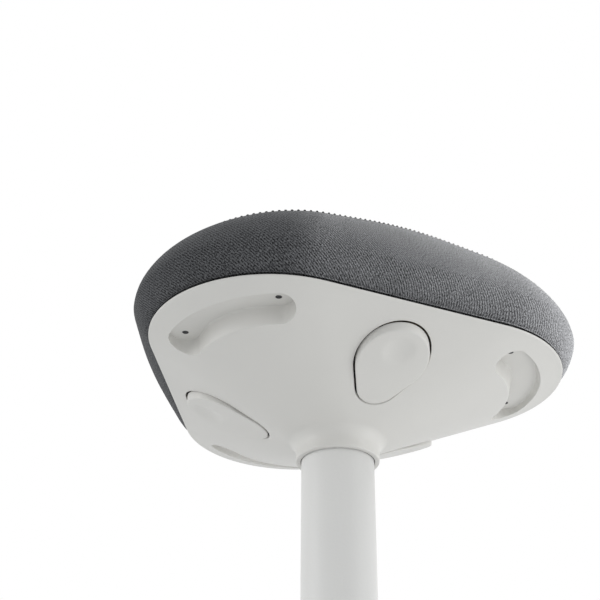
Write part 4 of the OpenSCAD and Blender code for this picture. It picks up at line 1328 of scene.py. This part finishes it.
def add_hub(build):
    """The pivot hub with its bore."""
    loop = eased_corners([(HUB_BORE, -HUB_HALF, 0.3), (HUB_R, -HUB_HALF, 0.8),
                          (HUB_R, HUB_HALF, 0.8), (HUB_BORE, HUB_HALF, 0.3)], 3)
    a = around(48)
    rings = [np.stack([PIVOT[0] + r * np.cos(a), y + 0 * a, PIVOT[1] + r * np.sin(a)], -1) for r, y in loop]
    first = build.add(rings[0])
    build.rings(first, rings[1:], first)


class STOOL_OT_column(bpy.types.Operator):
    """Makes the column's tubes and finishes what runs inside them"""
    bl_idname = "stool.column"
    bl_label = "Column"

    def execute(self, context):
        edge = context.scene.stool_sizes.tube_edge / MM
        low, high = cad("cover_tube")
        tube = turned_piece("column_cover", eased_corners([
            (high[0] - TUBE_T, low[2], edge), (high[0], low[2], edge),
            (high[0], high[2], edge), (high[0] - TUBE_T, high[2], edge),
        ]), "seat", "painted_tube")
        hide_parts("cover_tube")
        low, high = cad("glide_bush")
        glide = turned_piece("column_glide", eased_corners([
            (GLIDE_BORE, low[2], 0.8), (high[0], low[2], 1.0), (high[0], low[2] + 3, 0.3),
            (GLIDE_R, low[2] + 3, 0), (GLIDE_R, high[2], 0.5), (GLIDE_BORE, high[2], 0.5),
        ]), "seat", "dark_plastic")
        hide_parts("glide_bush")
        dress("gas_cylinder", "cylinder_cap", "tube_screws", "cone_socket", "piston_rod", "piston",
              "piston_seal", "rod_clip", "bump_stop", "upper_race", "bearing_balls", "bearing_cage",
              "lower_race", "guide_sleeve", "stand_tube")
        return {"FINISHED"}


class STOOL_OT_base(bpy.types.Operator):
    """Makes the base's cover and finishes its sole, pan and ballast"""
    bl_idname = "stool.base"
    bl_label = "Base"

    def execute(self, context):
        cover = turned_piece("base_cover_moulding", base_profile(), "base", "painted_tube", 180)
        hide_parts("base_cover")
        low, high = cad("neck_ring")
        seal = turned_piece("neck_seal", eased_corners([
            (NECK_BORE, low[2], 0.3), (high[0], low[2], 0.3),
            (high[0], high[2], 1.2), (NECK_BORE, high[2], 1.2),
        ]), "base", "dark_plastic")
        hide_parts("neck_ring")
        dress("rubber_sole", "base_pan", "ballast_disc", "flange_bolts", "base_screws")
        return {"FINISHED"}


def base_profile():
    """Section of the base cover: a low dome that sweeps up into its neck."""
    base_r, _, neck_z = cad("base_cover")[1]
    foot = cad("rubber_sole")[1][2] + 0.3
    corner, rise, fillet, neck_r, wall = 6, 15, 24, 32, 3
    dome_z = foot + 11.4
    dome_out, dome_in = base_r - corner, neck_r + fillet
    fillet_z = dome_z + rise + fillet

    def degrees(*span):
        return np.radians(np.arange(*span))

    def dome(x, d):
        return dome_out - (dome_out - dome_in) * x, dome_z - d + rise * (2 * x - x * x)

    def flare(b, d):
        return dome_in - (fillet + d) * sin(b), fillet_z - (fillet + d) * cos(b)

    return [
        (base_r - 0.4, foot), (base_r - 0.1, foot + 0.1), (base_r, foot + 0.5),
        *((dome_out + corner * cos(a), dome_z - corner + corner * sin(a)) for a in degrees(0, 90, 7.5)),
        *(dome(i / 24, 0) for i in range(25)),
        *(flare(b, 0) for b in degrees(4, 91, 4.3)),
        *((neck_r - d, neck_z - drop) for d, drop in
          ((0, 1.2), (0.25, 0.5), (0.9, 0.1), (1.5, 0), (2.4, 0.2), (wall, 0.8))),
        *(flare(b, wall) for b in degrees(90, 3, -6)),
        *(dome(i / 12, wall) for i in range(12, 0, -1)),
        (base_r - wall - 0.7, dome_z - corner), (base_r - wall - 0.7, foot),
    ]


OPERATORS = (STOOL_OT_stage, STOOL_OT_cushion, STOOL_OT_shell,
             STOOL_OT_levers, STOOL_OT_column, STOOL_OT_base)


class STOOL_PT_panel(bpy.types.Panel):
    """Sizes, colours and steps of the stool"""
    bl_idname = "STOOL_PT_panel"
    bl_label = "Sit-stand stool"
    bl_space_type = "VIEW_3D"
    bl_region_type = "UI"
    bl_category = "Stool"

    def draw(self, context):
        for group in (context.scene.stool_sizes, context.scene.stool_colours):
            box = self.layout.box()
            for name in group.__annotations__:
                box.prop(group, name)
        for operator in OPERATORS:
            self.layout.operator(operator.bl_idname)


CLASSES = (STOOL_PG_sizes, STOOL_PG_colours, *OPERATORS, STOOL_PT_panel)


def register():
    for cls in CLASSES:
        bpy.utils.register_class(cls)
    bpy.types.Scene.stool_sizes = bpy.props.PointerProperty(type=STOOL_PG_sizes)
    bpy.types.Scene.stool_colours = bpy.props.PointerProperty(type=STOOL_PG_colours)


def unregister():
    del bpy.types.Scene.stool_colours
    del bpy.types.Scene.stool_sizes
    for cls in reversed(CLASSES):
        bpy.utils.unregister_class(cls)


def main():
    register()
    bpy.ops.stool.stage()
    bpy.ops.stool.cushion()
    bpy.ops.stool.shell()
    bpy.ops.stool.levers()
    bpy.ops.stool.column()
    bpy.ops.stool.base()


if __name__ == "__main__":
    main()
